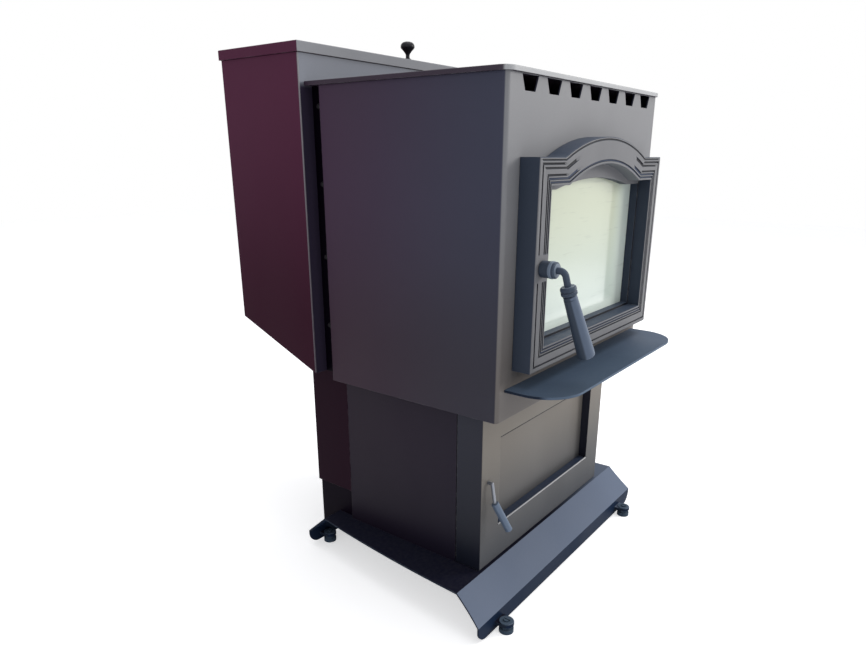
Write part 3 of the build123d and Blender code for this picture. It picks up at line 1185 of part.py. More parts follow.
def finger(x, z, y_span, length, width, tilt):
    """Latch finger that points up from its shaft and leans to the left by tilt."""
    bar = block(both_sides(width / 2), y_span, (0, length))
    return Pos(x, 0, z) * Rot(0, -tilt, 0) * bar


def door_latch_shaft():
    """Hub, shaft and finger of the loading door's latch."""
    start = CASING_WALL + LATCH_KEEPER_T + LATCH_FINGER_GAP
    finger_y = (start, start + LATCH_FINGER_T)
    shaft = rod_along_y(LATCH_X, LATCH_Z, (HANDLE_HUB_Y, finger_y[1]), LATCH_SHAFT_R)
    hub = rod_along_y(LATCH_X, LATCH_Z, (HANDLE_HUB_Y, DOOR_FRONT_Y - AIR_GAP), LATCH_HUB_R)
    hub = chamfer(hub.edges().filter_by(GeomType.CIRCLE), LATCH_HUB_CHAMFER)
    boss = rod_along_y(LATCH_X, LATCH_Z, finger_y, LATCH_BOSS_R)
    arm = finger(LATCH_X, LATCH_Z, finger_y, LATCH_FINGER_L, LATCH_FINGER_W, LATCH_FINGER_TILT)
    return hub + shaft + boss + arm


def door_handle_rod():
    """Bent rod and collar between the hub and the grip."""
    bend = HANDLE_ELBOW
    rods = rod_along_y(LATCH_X, LATCH_Z, (HANDLE_HUB_Y, bend[1]), HANDLE_ROD_R)
    rods += Pos(*bend) * Sphere(HANDLE_ROD_R) + rod(bend, HANDLE_COLLAR_END, HANDLE_ROD_R)
    along = Vector(*HANDLE_COLLAR_END) - Vector(*bend)
    collar_start = Vector(*HANDLE_COLLAR_END) - along.normalized() * COLLAR_LENGTH
    rods += rod(tuple(collar_start), HANDLE_COLLAR_END, COLLAR_R)
    return rods - door_handle_grip()


def door_handle_grip():
    return rod(HANDLE_COLLAR_END, HANDLE_GRIP_END, GRIP_TOP_R, GRIP_END_R)


# ================================================================ ash door
def ash_door_frame():
    """Deep tray with a window for the recessed panel, a latch boss and two hinge knuckles."""
    z_span = (ASH_BOTTOM_Z, ASH_TOP_Z)
    inner_face = ASH_FRONT_Y + ASH_FACE_T
    outside = block(both_sides(PEDESTAL_HALF), (ASH_FRONT_Y, ASH_REAR_Y), z_span)
    outside = fillet(outside.faces().sort_by(Axis.Y)[0].edges(), ASH_EDGE_ROUND)
    inner_z = (z_span[0] + ASH_WALL, z_span[1] - ASH_WALL)
    frame = outside - block(both_sides(PEDESTAL_HALF - ASH_WALL), (inner_face, ASH_REAR_Y + CUT), inner_z)
    recess_z = (ASH_RECESS_BOTTOM_Z, ASH_RECESS_TOP_Z)
    ring_z = (recess_z[0] - ASH_PANEL_LAP, recess_z[1] + ASH_PANEL_LAP)
    recess_y = ASH_FRONT_Y + ASH_RECESS_DEPTH
    frame += block(both_sides(ASH_RECESS_HALF + ASH_PANEL_LAP), (inner_face, recess_y), ring_z)
    frame -= block(both_sides(ASH_RECESS_HALF), past((ASH_FRONT_Y, recess_y)), recess_z)
    boss_y = (inner_face, ASH_FRONT_Y + ASH_LATCH_BOSS_DEPTH)
    frame += rod_along_y(ASH_LATCH_X, ASH_LATCH_Z, boss_y, ASH_LATCH_BOSS_R)
    frame -= rod_along_y(ASH_LATCH_X, ASH_LATCH_Z, past((ASH_FRONT_Y, boss_y[1])), ASH_ROD_R + RUNNING_GAP)
    return frame_with_knuckles(frame, ASH_HINGE_X, ASH_HINGE_Y, ASH_HINGE_Z, PEDESTAL_HALF)


def ash_door_panel():
    start = ASH_FRONT_Y + ASH_RECESS_DEPTH
    z_span = (ASH_RECESS_BOTTOM_Z - ASH_PANEL_LAP, ASH_RECESS_TOP_Z + ASH_PANEL_LAP)
    return block(both_sides(ASH_RECESS_HALF + ASH_PANEL_LAP), (start, start + ASH_PANEL_T), z_span)


def ash_door_gasket():
    """Rope seal inside the door's rim, meeting the flange of the pedestal."""
    y_span = (ASH_REAR_Y - ASH_ROPE_W, PEDESTAL_FRONT_Y - AIR_GAP)
    half = PEDESTAL_HALF - ASH_WALL
    z_span = (ASH_BOTTOM_Z + ASH_WALL, ASH_TOP_Z - ASH_WALL)
    inner_z = (z_span[0] + ASH_ROPE_W, z_span[1] - ASH_ROPE_W)
    return block(both_sides(half), y_span, z_span) - block(both_sides(half - ASH_ROPE_W), past(y_span), inner_z)


def ash_hinge_brackets():
    """Lift-off hinges bolted to the right side wall of the pedestal."""
    wall_x = PEDESTAL_HALF
    brackets = []
    for z in ASH_HINGE_Z:
        seat, seat_z = hinge_seat(ASH_HINGE_X, ASH_HINGE_Y, z)
        arm_y = (PEDESTAL_FRONT_Y, PEDESTAL_FRONT_Y + ASH_BRACKET_REACH)
        arm = block((wall_x, wall_x + HINGE_FOOT_T), arm_y, (seat_z[0] - ASH_BRACKET_DROP, seat_z[1]))
        link_y = (ASH_HINGE_Y, PEDESTAL_FRONT_Y + HINGE_FOOT_T)
        link = block((wall_x + AIR_GAP, ASH_HINGE_X), link_y, seat_z)
        brackets.append(seat + arm + link)
    return Compound(brackets)


def ash_latch_rod():
    """Shaft, finger and bent rod of the ash door's handle."""
    start = PEDESTAL_FRONT_Y + PEDESTAL_WALL + ASH_FINGER_GAP
    finger_y = (start, start + ASH_FINGER_T)
    rods = rod_along_y(ASH_LATCH_X, ASH_LATCH_Z, (ASH_ELBOW[1], finger_y[1]), ASH_ROD_R)
    rods += Pos(*ASH_ELBOW) * Sphere(ASH_ROD_R) + rod(ASH_ELBOW, ASH_GRIP_TOP, ASH_ROD_R)
    rods += finger(ASH_LATCH_X, ASH_LATCH_Z, finger_y, ASH_FINGER_L, ASH_FINGER_W, 0)
    return rods - ash_handle_grip()


def ash_handle_grip():
    grip = rod(ASH_GRIP_TOP, ASH_GRIP_END, ASH_GRIP_R)
    return chamfer(grip.edges().filter_by(GeomType.CIRCLE), ASH_GRIP_CHAMFER)


# ================================================================ ash pan
def ash_pan():
    """Open tray drilled at both sides for its wire handle."""
    outside = block(both_sides(PAN_HALF), (PAN_FRONT_Y, PAN_REAR_Y), (PEDESTAL_FLOOR_Z, PAN_RIM_Z))
    inner_y = (PAN_FRONT_Y + PAN_SHEET, PAN_REAR_Y - PAN_SHEET)
    inner_z = (PEDESTAL_FLOOR_Z + PAN_SHEET, PAN_RIM_Z + CUT)
    pan = outside - block(both_sides(PAN_HALF - PAN_SHEET), inner_y, inner_z)
    return pan - rod_along_x(both_sides(PAN_HALF + CUT), BAIL_PIVOT_Y, BAIL_PIVOT_Z, BAIL_R + RUNNING_GAP)


def ash_pan_bail():
    """Wire handle that lies back on the pan's rim and swings up."""
    arm_x = PAN_HALF + BAIL_R + BAIL_GAP
    bar_y = BAIL_PIVOT_Y + BAIL_REACH
    bar_z = PAN_RIM_Z + BAIL_R + AIR_GAP
    bail = rod_along_x(both_sides(arm_x), bar_y, bar_z, BAIL_R)
    for side in (-1, 1):
        hip = (side * arm_x, BAIL_PIVOT_Y, BAIL_PIVOT_Z)
        corner = (side * arm_x, bar_y, bar_z)
        pin_x = (side * (PAN_HALF - PAN_SHEET - BAIL_END_L), hip[0])
        bail += rod_along_x(pin_x, BAIL_PIVOT_Y, BAIL_PIVOT_Z, BAIL_R)
        bail += rod(hip, corner, BAIL_R)
        for end in (hip, corner):
            bail += Pos(*end) * Sphere(BAIL_R)
    return bail


# ================================================================ exhaust
def exhaust_volume(shrink):
    """Blower drum with the outlet box above it; shrink gives its inside."""
    start_y = CASING_REAR_Y + shrink
    drum_y = (start_y, EXHAUST_DRUM_END_Y - shrink)
    half = EXHAUST_HALF - shrink
    top_z = EXHAUST_TOP_Z - shrink
    drum = rod_along_y(0, EXHAUST_Z, drum_y, EXHAUST_DRUM_R - shrink)
    riser = block(both_sides(half), drum_y, (EXHAUST_Z, top_z))
    outlet = block(both_sides(half), (start_y, EXHAUST_REAR_Y - shrink), (OUTLET_BOTTOM_Z + shrink, top_z))
    return drum + riser + outlet


def exhaust_blower_housing():
    """Sheet drum and outlet box on the rear of the pedestal."""
    housing = exhaust_volume(0) - exhaust_volume(EXHAUST_WALL)
    front_wall = past((CASING_REAR_Y, CASING_REAR_Y + EXHAUST_WALL))
    housing -= rod_along_y(0, EXHAUST_Z, front_wall, EXHAUST_EYE_R)
    motor_wall = past((EXHAUST_DRUM_END_Y - EXHAUST_WALL, EXHAUST_DRUM_END_Y))
    housing -= rod_along_y(0, EXHAUST_Z, motor_wall, FAN_SHAFT_R + RUNNING_GAP)
    outlet_wall = past((EXHAUST_REAR_Y - EXHAUST_WALL, EXHAUST_REAR_Y))
    return housing - rod_along_y(0, FLUE_Z, outlet_wall, FLUE_PIPE_R - PIPE_WALL)


def exhaust_motor():
    motor = rod_along_y(0, EXHAUST_Z, (EXHAUST_DRUM_END_Y, EXHAUST_MOTOR_REAR_Y), EXHAUST_MOTOR_R)
    bore_y = (EXHAUST_DRUM_END_Y - CUT, EXHAUST_DRUM_END_Y + MOTOR_BORE_DEPTH)
    return motor - rod_along_y(0, EXHAUST_Z, bore_y, FAN_SHAFT_R + RUNNING_GAP)


def exhaust_fan():
    """Impeller of the combustion blower, on its motor's shaft."""
    disc_y = EXHAUST_DRUM_END_Y - EXHAUST_WALL - EXHAUST_DISC_GAP
    hub_y = disc_y - EXHAUST_HUB_L
    fan = rod_along_y(0, EXHAUST_Z, (disc_y, disc_y + EXHAUST_DISC_T), EXHAUST_FAN_R)
    fan += rod_along_y(0, EXHAUST_Z, (hub_y, EXHAUST_DRUM_END_Y + SHAFT_IN_MOTOR), FAN_SHAFT_R)
    fan += rod_along_y(0, EXHAUST_Z, (hub_y, disc_y), EXHAUST_HUB_R)
    blade_y = (disc_y - EXHAUST_BLADE_L, disc_y)
    blade = block((EXHAUST_HUB_R - CUT, EXHAUST_FAN_R), blade_y, both_sides(BLADE_T / 2))
    for index in range(EXHAUST_BLADE_COUNT):
        fan += Pos(0, 0, EXHAUST_Z) * Rot(0, 360 * index / EXHAUST_BLADE_COUNT, 0) * blade
    return fan


def spigot(x, z, start_y, end_y, collar_l, collar_r):
    """Pipe stub with a rolled stop bead and a slightly larger collar at its free end."""
    collar_y = end_y - collar_l
    pipe_r = collar_r - COLLAR_STEP
    pipe = rod_along_y(x, z, (start_y, collar_y), pipe_r)
    pipe += rod_along_y(x, z, (collar_y, end_y), collar_r)
    pipe += rod_along_y(x, z, (collar_y - BEAD_L, collar_y), collar_r + BEAD_H)
    return pipe - rod_along_y(x, z, past((start_y, end_y)), pipe_r - PIPE_WALL)


def flue_spigot():
    return spigot(0, FLUE_Z, EXHAUST_REAR_Y, FLUE_END_Y, FLUE_COLLAR_L, FLUE_COLLAR_R)


# ================================================================ room air and combustion air
def room_foot(x_span):
    """Block that stands the room-air blower on the pedestal's floor."""
    y_span = (ROOM_FAN_Y - ROOM_FOOT_HALF, ROOM_FAN_Y + ROOM_FOOT_HALF)
    return block(x_span, y_span, (PEDESTAL_FLOOR_Z, ROOM_FAN_Z))


def room_air_housing():
    """Cross-flow blower housing across the rear of the pedestal."""
    half = ROOM_HOUSING_HALF
    housing = rod_along_x(both_sides(half), ROOM_FAN_Y, ROOM_FAN_Z, ROOM_HOUSING_R)
    for side in (-1, 1):
        housing += room_foot(sorted((side * half, side * (half - ROOM_FOOT_T))))
    inner_x = both_sides(half - ROOM_END_WALL)
    housing -= rod_along_x(inner_x, ROOM_FAN_Y, ROOM_FAN_Z, ROOM_HOUSING_R - ROOM_HOUSING_WALL)
    mouth_x = both_sides(half - ROOM_OUTLET_INSET)
    outlet_y = (ROOM_FAN_Y + ROOM_OUTLET_Y[0], ROOM_FAN_Y + ROOM_OUTLET_Y[1])
    housing -= block(mouth_x, outlet_y, (ROOM_FAN_Z, ROOM_FAN_Z + ROOM_HOUSING_R + CUT))
    intake_z = (ROOM_FAN_Z + ROOM_INTAKE_Z[0], ROOM_FAN_Z + ROOM_INTAKE_Z[1])
    housing -= block(mouth_x, (ROOM_FAN_Y, ROOM_FAN_Y + ROOM_HOUSING_R + CUT), intake_z)
    return housing - rod_along_x(both_sides(half + CUT), ROOM_FAN_Y, ROOM_FAN_Z, FAN_SHAFT_R + RUNNING_GAP)


def room_air_fan():
    """Long drum impeller that turns about X."""
    half = ROOM_HOUSING_HALF - ROOM_FAN_INSET
    shaft_x = (CUT - ROOM_HOUSING_HALF, ROOM_HOUSING_HALF + SHAFT_IN_MOTOR)
    fan = rod_along_x(shaft_x, ROOM_FAN_Y, ROOM_FAN_Z, FAN_SHAFT_R)
    for x in (-half, -half / 3, half / 3, half - ROOM_DISC_T):
        fan += rod_along_x((x, x + ROOM_DISC_T), ROOM_FAN_Y, ROOM_FAN_Z, ROOM_FAN_R)
    blade = block(both_sides(half), both_sides(BLADE_T / 2), (ROOM_FAN_R - ROOM_BLADE_DEPTH, ROOM_FAN_R))
    for index in range(ROOM_BLADE_COUNT):
        fan += Pos(0, ROOM_FAN_Y, ROOM_FAN_Z) * Rot(360 * index / ROOM_BLADE_COUNT, 0, 0) * blade
    return fan


def room_air_motor():
    """Motor at the right-hand end of the room-air blower, on its own foot."""
    start_x = ROOM_HOUSING_HALF
    end_x = start_x + ROOM_MOTOR_LENGTH
    motor = rod_along_x((start_x, end_x), ROOM_FAN_Y, ROOM_FAN_Z, ROOM_MOTOR_R)
    motor += room_foot((start_x + ROOM_MOTOR_FOOT_INSET, end_x - ROOM_MOTOR_FOOT_INSET))
    bore_x = (start_x - CUT, start_x + MOTOR_BORE_DEPTH)
    return motor - rod_along_x(bore_x, ROOM_FAN_Y, ROOM_FAN_Z, FAN_SHAFT_R + RUNNING_GAP)


def air_inlet_pipe():
    return spigot(INLET_X, INLET_Z, CASING_REAR_Y, INLET_END_Y, INLET_COLLAR_L, INLET_COLLAR_R)


def air_inlet_flap():
    """Light flap that hangs inside the rear wall and covers the inlet hole."""
    disc_y = (FLAP_AXIS_Y + FLAP_PIN_R, FLAP_AXIS_Y + FLAP_PIN_R + FLAP_T)
    disc = rod_along_y(INLET_X, INLET_Z, disc_y, FLAP_R)
    hanger_x = (INLET_X - FLAP_HANGER_HALF, INLET_X + FLAP_HANGER_HALF)
    hanger_z = (INLET_Z + FLAP_R - FLAP_HANGER_DROP, FLAP_AXIS_Z)
    disc += block(hanger_x, (FLAP_AXIS_Y, disc_y[1]), hanger_z)
    pin_half = FLAP_R + AIR_GAP + FLAP_EAR_T
    return disc + rod_along_x((INLET_X - pin_half, INLET_X + pin_half), FLAP_AXIS_Y, FLAP_AXIS_Z, FLAP_PIN_R)


# ================================================================ electrics
def socket_body(margin, y_span):
    """Block of the mains inlet's outline, made larger by margin all round."""
    half_x = SOCKET_HALF[0] + margin
    half_z = SOCKET_HALF[1] + margin
    return block((SOCKET_X - half_x, SOCKET_X + half_x), y_span, (SOCKET_Z - half_z, SOCKET_Z + half_z))


def power_inlet():
    """Recessed three-pin appliance inlet on the rear cover."""
    rim_y = COVER_REAR_Y + SOCKET_RIM_T
    floor_y = COVER_REAR_Y - SOCKET_BODY_L + SOCKET_FLOOR
    body = socket_body(0, (COVER_REAR_Y - SOCKET_BODY_L, COVER_REAR_Y))
    body += socket_body(SOCKET_RIM, (COVER_REAR_Y, rim_y))
    body -= socket_body(-SOCKET_WALL, (floor_y, rim_y + CUT))
    pin_y = (floor_y - CUT, COVER_REAR_Y - SOCKET_PIN_INSET)
    half_x, half_z = SOCKET_PIN_HALF
    for step in (-1, 0, 1):
        x = SOCKET_X + step * SOCKET_PIN_PITCH
        z = SOCKET_Z + (SOCKET_PIN_OFFSET if step == 0 else -SOCKET_PIN_OFFSET)
        body += block((x - half_x, x + half_x), pin_y, (z - half_z, z + half_z))
    return body


def control_panel():
    """Dark plate on the right-hand side cover, with a hole for each shaft."""
    x_span = (HOPPER_HALF, HOPPER_HALF + PANEL_T)
    plate = block(x_span, PANEL_Y, (PANEL_BOTTOM_Z, PANEL_TOP_Z))
    plate = fillet(plate.edges().filter_by(Axis.X), PANEL_ROUND)
    for z in DIAL_Z:
        plate -= rod_along_x(past(x_span), PANEL_MIDDLE_Y, z, DIAL_STEM_R + RUNNING_GAP)
    return plate - switch_well(x_span)


def switch_well(x_span):
    """Cutter for the rocker switch's hole."""
    half_y, half_z = SWITCH_WELL_HALF
    y_span = (PANEL_MIDDLE_Y - half_y, PANEL_MIDDLE_Y + half_y)
    return block(past(x_span), y_span, (SWITCH_Z - half_z, SWITCH_Z + half_z))


def dial(z):
    """Knob with a pointer rib, on a stem through the panel."""
    face = HOPPER_HALF + PANEL_T + AIR_GAP
    front = face + DIAL_H
    knob = rod_along_x((face, front), PANEL_MIDDLE_Y, z, DIAL_R, DIAL_R - DIAL_TAPER)
    rib_half = DIAL_R - DIAL_RIB_INSET
    rib_y = (PANEL_MIDDLE_Y - DIAL_RIB_HALF, PANEL_MIDDLE_Y + DIAL_RIB_HALF)
    rib = block((front - CUT, front + DIAL_RIB_H), rib_y, (z - rib_half, z + rib_half))
    return knob + rib + rod_along_x((HOPPER_HALF, face), PANEL_MIDDLE_Y, z, DIAL_STEM_R)


def mode_switch():
    """Rocker that tips inside the panel's well."""
    x = HOPPER_HALF + PANEL_T / 2
    tip_x, tip_z = SWITCH_TIP
    y_span = (PANEL_MIDDLE_Y - SWITCH_HALF, PANEL_MIDDLE_Y + SWITCH_HALF)
    paddle = polygon(
        (x, SWITCH_Z - tip_z),
        (x + tip_x, SWITCH_Z - tip_z),
        (x + SWITCH_WAIST, SWITCH_Z),
        (x + tip_x, SWITCH_Z + tip_z),
        (x, SWITCH_Z + tip_z),
    )
    return rod_along_y(x, SWITCH_Z, y_span, SWITCH_AXLE_R) + facing_front(paddle, y_span)


# ================================================================ build
os.makedirs("parts", exist_ok=True)

save(base_plate(), "base_plate")
for foot_name, foot_x, foot_y in foot_places():
    save(levelling_foot(foot_x, foot_y), "levelling_foot_" + foot_name)
save(pedestal_shell(), "pedestal_shell")
save(blower_plinth(), "blower_plinth")
save(rear_cover(), "rear_cover")
save(casing(), "casing")
save(top_plate(), "top_plate")
save(shelf(), "front_shelf")
save(hopper_mount(), "hopper_mount")
save(casing_screws(), "casing_screws")
save(firebox(), "firebox")
save(heat_exchanger_tubes(), "heat_exchanger_tubes")
save(burn_pot(), "burn_pot")
save(burn_pot_cover(), "burn_pot_cover")
save(igniter(), "igniter")
save(flame_guide(), "flame_guide")
save(feed_tube(), "feed_tube")
save(feed_auger(), "feed_auger")
save(feed_motor(), "feed_gear_motor")
save(hopper_side(-1), "hopper_side_left")
save(hopper_side(1), "hopper_side_right")
save(hopper_shell(), "hopper_shell")
save(hopper_bin(), "hopper_bin")
save(lid_hinge_pins(), "lid_hinge_pins")
save(hopper_lid(), "hopper_lid")
save(lid_gasket(), "lid_gasket")
save(lid_knob(), "lid_knob")
save(loading_door_frame(), "loading_door_frame")
save(door_hinge_brackets(), "door_hinge_brackets")
save(door_glass(), "door_glass")
save(glass_retainers(), "glass_retainers")
save(door_gasket(), "door_gasket")
save(door_latch_shaft(), "door_latch_shaft")
save(door_handle_rod(), "door_handle_rod")
save(door_handle_grip(), "door_handle_grip")
save(ash_door_frame(), "ash_door_frame")
save(ash_door_panel(), "ash_door_panel")
save(ash_door_gasket(), "ash_door_gasket")
save(ash_hinge_brackets(), "ash_hinge_brackets")
save(ash_latch_rod(), "ash_latch_rod")
save(ash_handle_grip(), "ash_handle_grip")
save(ash_pan(), "ash_pan")
save(ash_pan_bail(), "ash_pan_bail")
save(exhaust_blower_housing(), "exhaust_blower_housing")
save(exhaust_motor(), "exhaust_motor")
save(exhaust_fan(), "exhaust_fan")
save(flue_spigot(), "flue_spigot")
save(room_air_housing(), "room_air_housing")
save(room_air_fan(), "room_air_fan")
save(room_air_motor(), "room_air_motor")
save(air_inlet_pipe(), "air_inlet_pipe")
save(air_inlet_flap(), "air_inlet_flap")
save(power_inlet(), "power_inlet")
save(control_panel(), "control_panel")
save(dial(DIAL_Z[0]), "feed_dial")
save(dial(DIAL_Z[1]), "temperature_dial")
save(mode_switch(), "mode_switch")
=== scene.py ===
"""Finishes, castings, seals and studio of a pellet stove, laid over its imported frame."""

import logging
import math
from dataclasses import dataclass, field, replace
from enum import Enum, IntEnum
from functools import cached_property
from typing import Any, Iterable

import bmesh
import bpy
from bmesh.types import BMFace, BMVert, BMesh
from bpy.types import ID, Material, Mesh, Node, NodeSocket, NodeTree, Object
from mathutils import Matrix, Vector


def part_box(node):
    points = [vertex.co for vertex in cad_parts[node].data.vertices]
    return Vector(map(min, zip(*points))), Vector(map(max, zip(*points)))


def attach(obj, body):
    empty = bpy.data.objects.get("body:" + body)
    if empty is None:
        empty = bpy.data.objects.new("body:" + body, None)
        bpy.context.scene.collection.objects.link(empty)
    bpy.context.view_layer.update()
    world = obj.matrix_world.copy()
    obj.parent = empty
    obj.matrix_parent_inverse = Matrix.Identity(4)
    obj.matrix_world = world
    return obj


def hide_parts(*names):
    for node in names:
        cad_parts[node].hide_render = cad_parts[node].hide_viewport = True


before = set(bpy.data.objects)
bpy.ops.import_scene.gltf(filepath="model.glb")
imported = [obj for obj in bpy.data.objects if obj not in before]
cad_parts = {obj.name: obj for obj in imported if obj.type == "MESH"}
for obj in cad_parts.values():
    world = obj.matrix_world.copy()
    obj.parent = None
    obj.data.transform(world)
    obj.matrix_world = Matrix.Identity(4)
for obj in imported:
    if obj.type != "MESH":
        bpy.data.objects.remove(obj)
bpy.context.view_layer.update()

log = logging.getLogger("stove")

Colour = tuple[int, int, int]
Point = tuple[float, float, float]
Pair = tuple[float, float]
Profile = Iterable[Pair]

WHITE = (255, 255, 255)
FACE_Y = -0.2548248  # metres, where the front face of the casing stands
MILLIMETRES = Matrix.Translation((0.0, FACE_Y, 0.0)) @ Matrix.Diagonal((0.001, 0.001, 0.001, 1.0))
SMOOTH_ANGLE = math.radians(32)
EASED_ANGLE = math.radians(40)
SEAM = 0.001  # millimetres, how close two points of a turned seam are
WELD = 0.005  # millimetres, how close two points are to count as one
ROD_SIDES = 28
BEND_STEPS = 14


class Body(Enum):
    """Bodies that pieces made here move with."""

    STOVE = "stove"
    LOADING_DOOR = "loading_door"
    DOOR_HANDLE = "door_handle"
    ASH_DOOR = "ash_door"
    HOPPER_LID = "hopper_lid"


class Grain(Enum):
    """Fine relief of a surface."""

    PAINT = "sprayed_paint_relief"
    CAST = "sand_cast_relief"
    ROLLED = "rolled_steel_relief"
    MOULDED = "moulded_resin_relief"
    FIBRE = "glass_fibre_relief"


def linear(colour: Colour) -> tuple[float, float, float, float]:
    """Turns a screen colour into the linear one that a shader takes.

    Args:
        colour: red, green and blue, 0 to 255.

    Returns:
        Linear red, green and blue, and an alpha of 1.
    """
    parts = [c / 255 for c in colour]
    red, green, blue = (p / 12.92 if p <= 0.04045 else ((p + 0.055) / 1.055) ** 2.4 for p in parts)
    return red, green, blue, 1.0


# ---- wiring ----
@dataclass
class Board:
    """A node tree while it is being wired."""

    tree: NodeTree

    def node(self, kind: str, **settings: Any) -> Node:
        """Adds a node.

        Args:
            kind: Blender's name of the node without the ShaderNode prefix.
            settings: properties of the node.

        Returns:
            The new node.
        """
        made = self.tree.nodes.new("ShaderNode" + kind)
        for name, value in settings.items():
            setattr(made, name, value)
        return made

    def feed(self, socket: NodeSocket, value: Any) -> None:
        """Wires an output into a socket, or sets the socket's own value.

        Args:
            socket: what is fed.
            value: an output socket, or a plain value.
        """
        if isinstance(value, NodeSocket):
            self.tree.links.new(value, socket)
        else:
            socket.default_value = value

    def fill(self, node: Node, values: dict[str | int, Any]) -> Node:
        """Feeds several inputs of a node.

        Args:
            node: the node.
            values: values or output sockets for its inputs, by name or number.

        Returns:
            The same node.
        """
        for name, value in values.items():
            self.feed(node.inputs[name], value)
        return node

    def math(self, operation: str, *values: Any, clamp: bool = False) -> NodeSocket:
        """Does one sum with numbers or sockets, and keeps it between 0 and 1 if clamp is set."""
        made = self.node("Math", operation=operation, use_clamp=clamp)
        return self.fill(made, dict(enumerate(values))).outputs[0]

    def spread(self, value: Any, low: Any, high: Any, to_low: Any = 0.0, to_high: Any = 1.0) -> NodeSocket:
        """Maps a value smoothly from the range low to high onto to_low to to_high."""
        ends = {"Value": value, "From Min": low, "From Max": high, "To Min": to_low, "To Max": to_high}
        return self.fill(self.node("MapRange", interpolation_type="SMOOTHSTEP"), ends).outputs["Result"]

    def mix(self, share: Any, first: Any, second: Any, blend: str = "MIX") -> NodeSocket:
        """Mixes a share of the second colour into the first; 6, 7 and 2 are the node's sockets for colours."""
        made = self.node("Mix", data_type="RGBA", blend_type=blend, clamp_result=True)
        return self.fill(made, {0: share, 6: first, 7: second}).outputs[2]

    def noise(self, scale: Any, detail: float = 2.0, stretch: Point = (1.0, 1.0, 1.0)) -> NodeSocket:
        """Adds clouds in object coordinates.

        Args:
            scale: how many to the metre.
            detail: how many finer layers.
            stretch: scale of each axis.

        Returns:
            The socket with the clouds, about 0.3 to 0.7.
        """
        where = self.node("TexCoord").outputs["Object"]
        if stretch != (1.0, 1.0, 1.0):
            where = self.fill(self.node("Mapping"), {"Vector": where, "Scale": stretch}).outputs["Vector"]
        made = self.fill(self.node("TexNoise"), {"Vector": where, "Scale": scale, "Detail": detail})
        return made.outputs["Fac"]

    def cells(self, scale: Any, **settings: Any) -> NodeSocket:
        """Adds round cells in object coordinates and gives the distance to their middles."""
        where = self.node("TexCoord").outputs["Object"]
        return self.fill(self.node("TexVoronoi", **settings), {"Vector": where, "Scale": scale}).outputs[0]

    def split(self, what: str) -> list[NodeSocket]:
        """Gives the x, y and z of a point's place on its piece (Object), or of the way that it faces (Normal)."""
        where = self.node("TexCoord").outputs[what]
        return self.fill(self.node("SeparateXYZ"), {"Vector": where}).outputs[:]

    def place(self, group: NodeTree, **values: Any) -> Node:
        """Puts a node group on the board, with values or sockets for its inputs."""
        return self.fill(self.node("Group", node_tree=group), values)


# Where one tone of a coat gives way to the next, as shares of the normal's length; the first four set the painted
# light and shade by facing.
TO_THE_ROOM = (0.35, 0.6)
TO_THE_WALL = (0.3, 0.6)
TIPPED_UP = (0.3, 0.5)
LOOKING_UP = (0.82, 0.95)
HOLDING_ASH = (0.6, 0.98)
TURNED_AWAY = (0.97, 0.78)
# The same in metres, and in the height of clouds, whose middle is 0.5; the first two place the painted reflection
# tint along the sides and the painted light across tops.
ALONG_THE_SIDE = (-0.3, 0.12)
ACROSS_THE_TOP = (0.0, 0.26)
CLOUDS = (0.3, 0.7)
RUBBED_CLOUDS = (0.42, 0.62)
ASH_CLOUDS = (0.25, 0.85)
MIDDLE = 0.5
# How clouds are drawn out along each axis.
WIPED = (1.0, 1.0, 0.35)
DRAWN = (1.0, 1.0, 0.06)
TWISTED = (1.0, 1.0, 0.2)
# How much of a relief its slow part or its pits make up.
BUCKLE_DEPTH = 3.0
PIT_DEPTH = 0.6


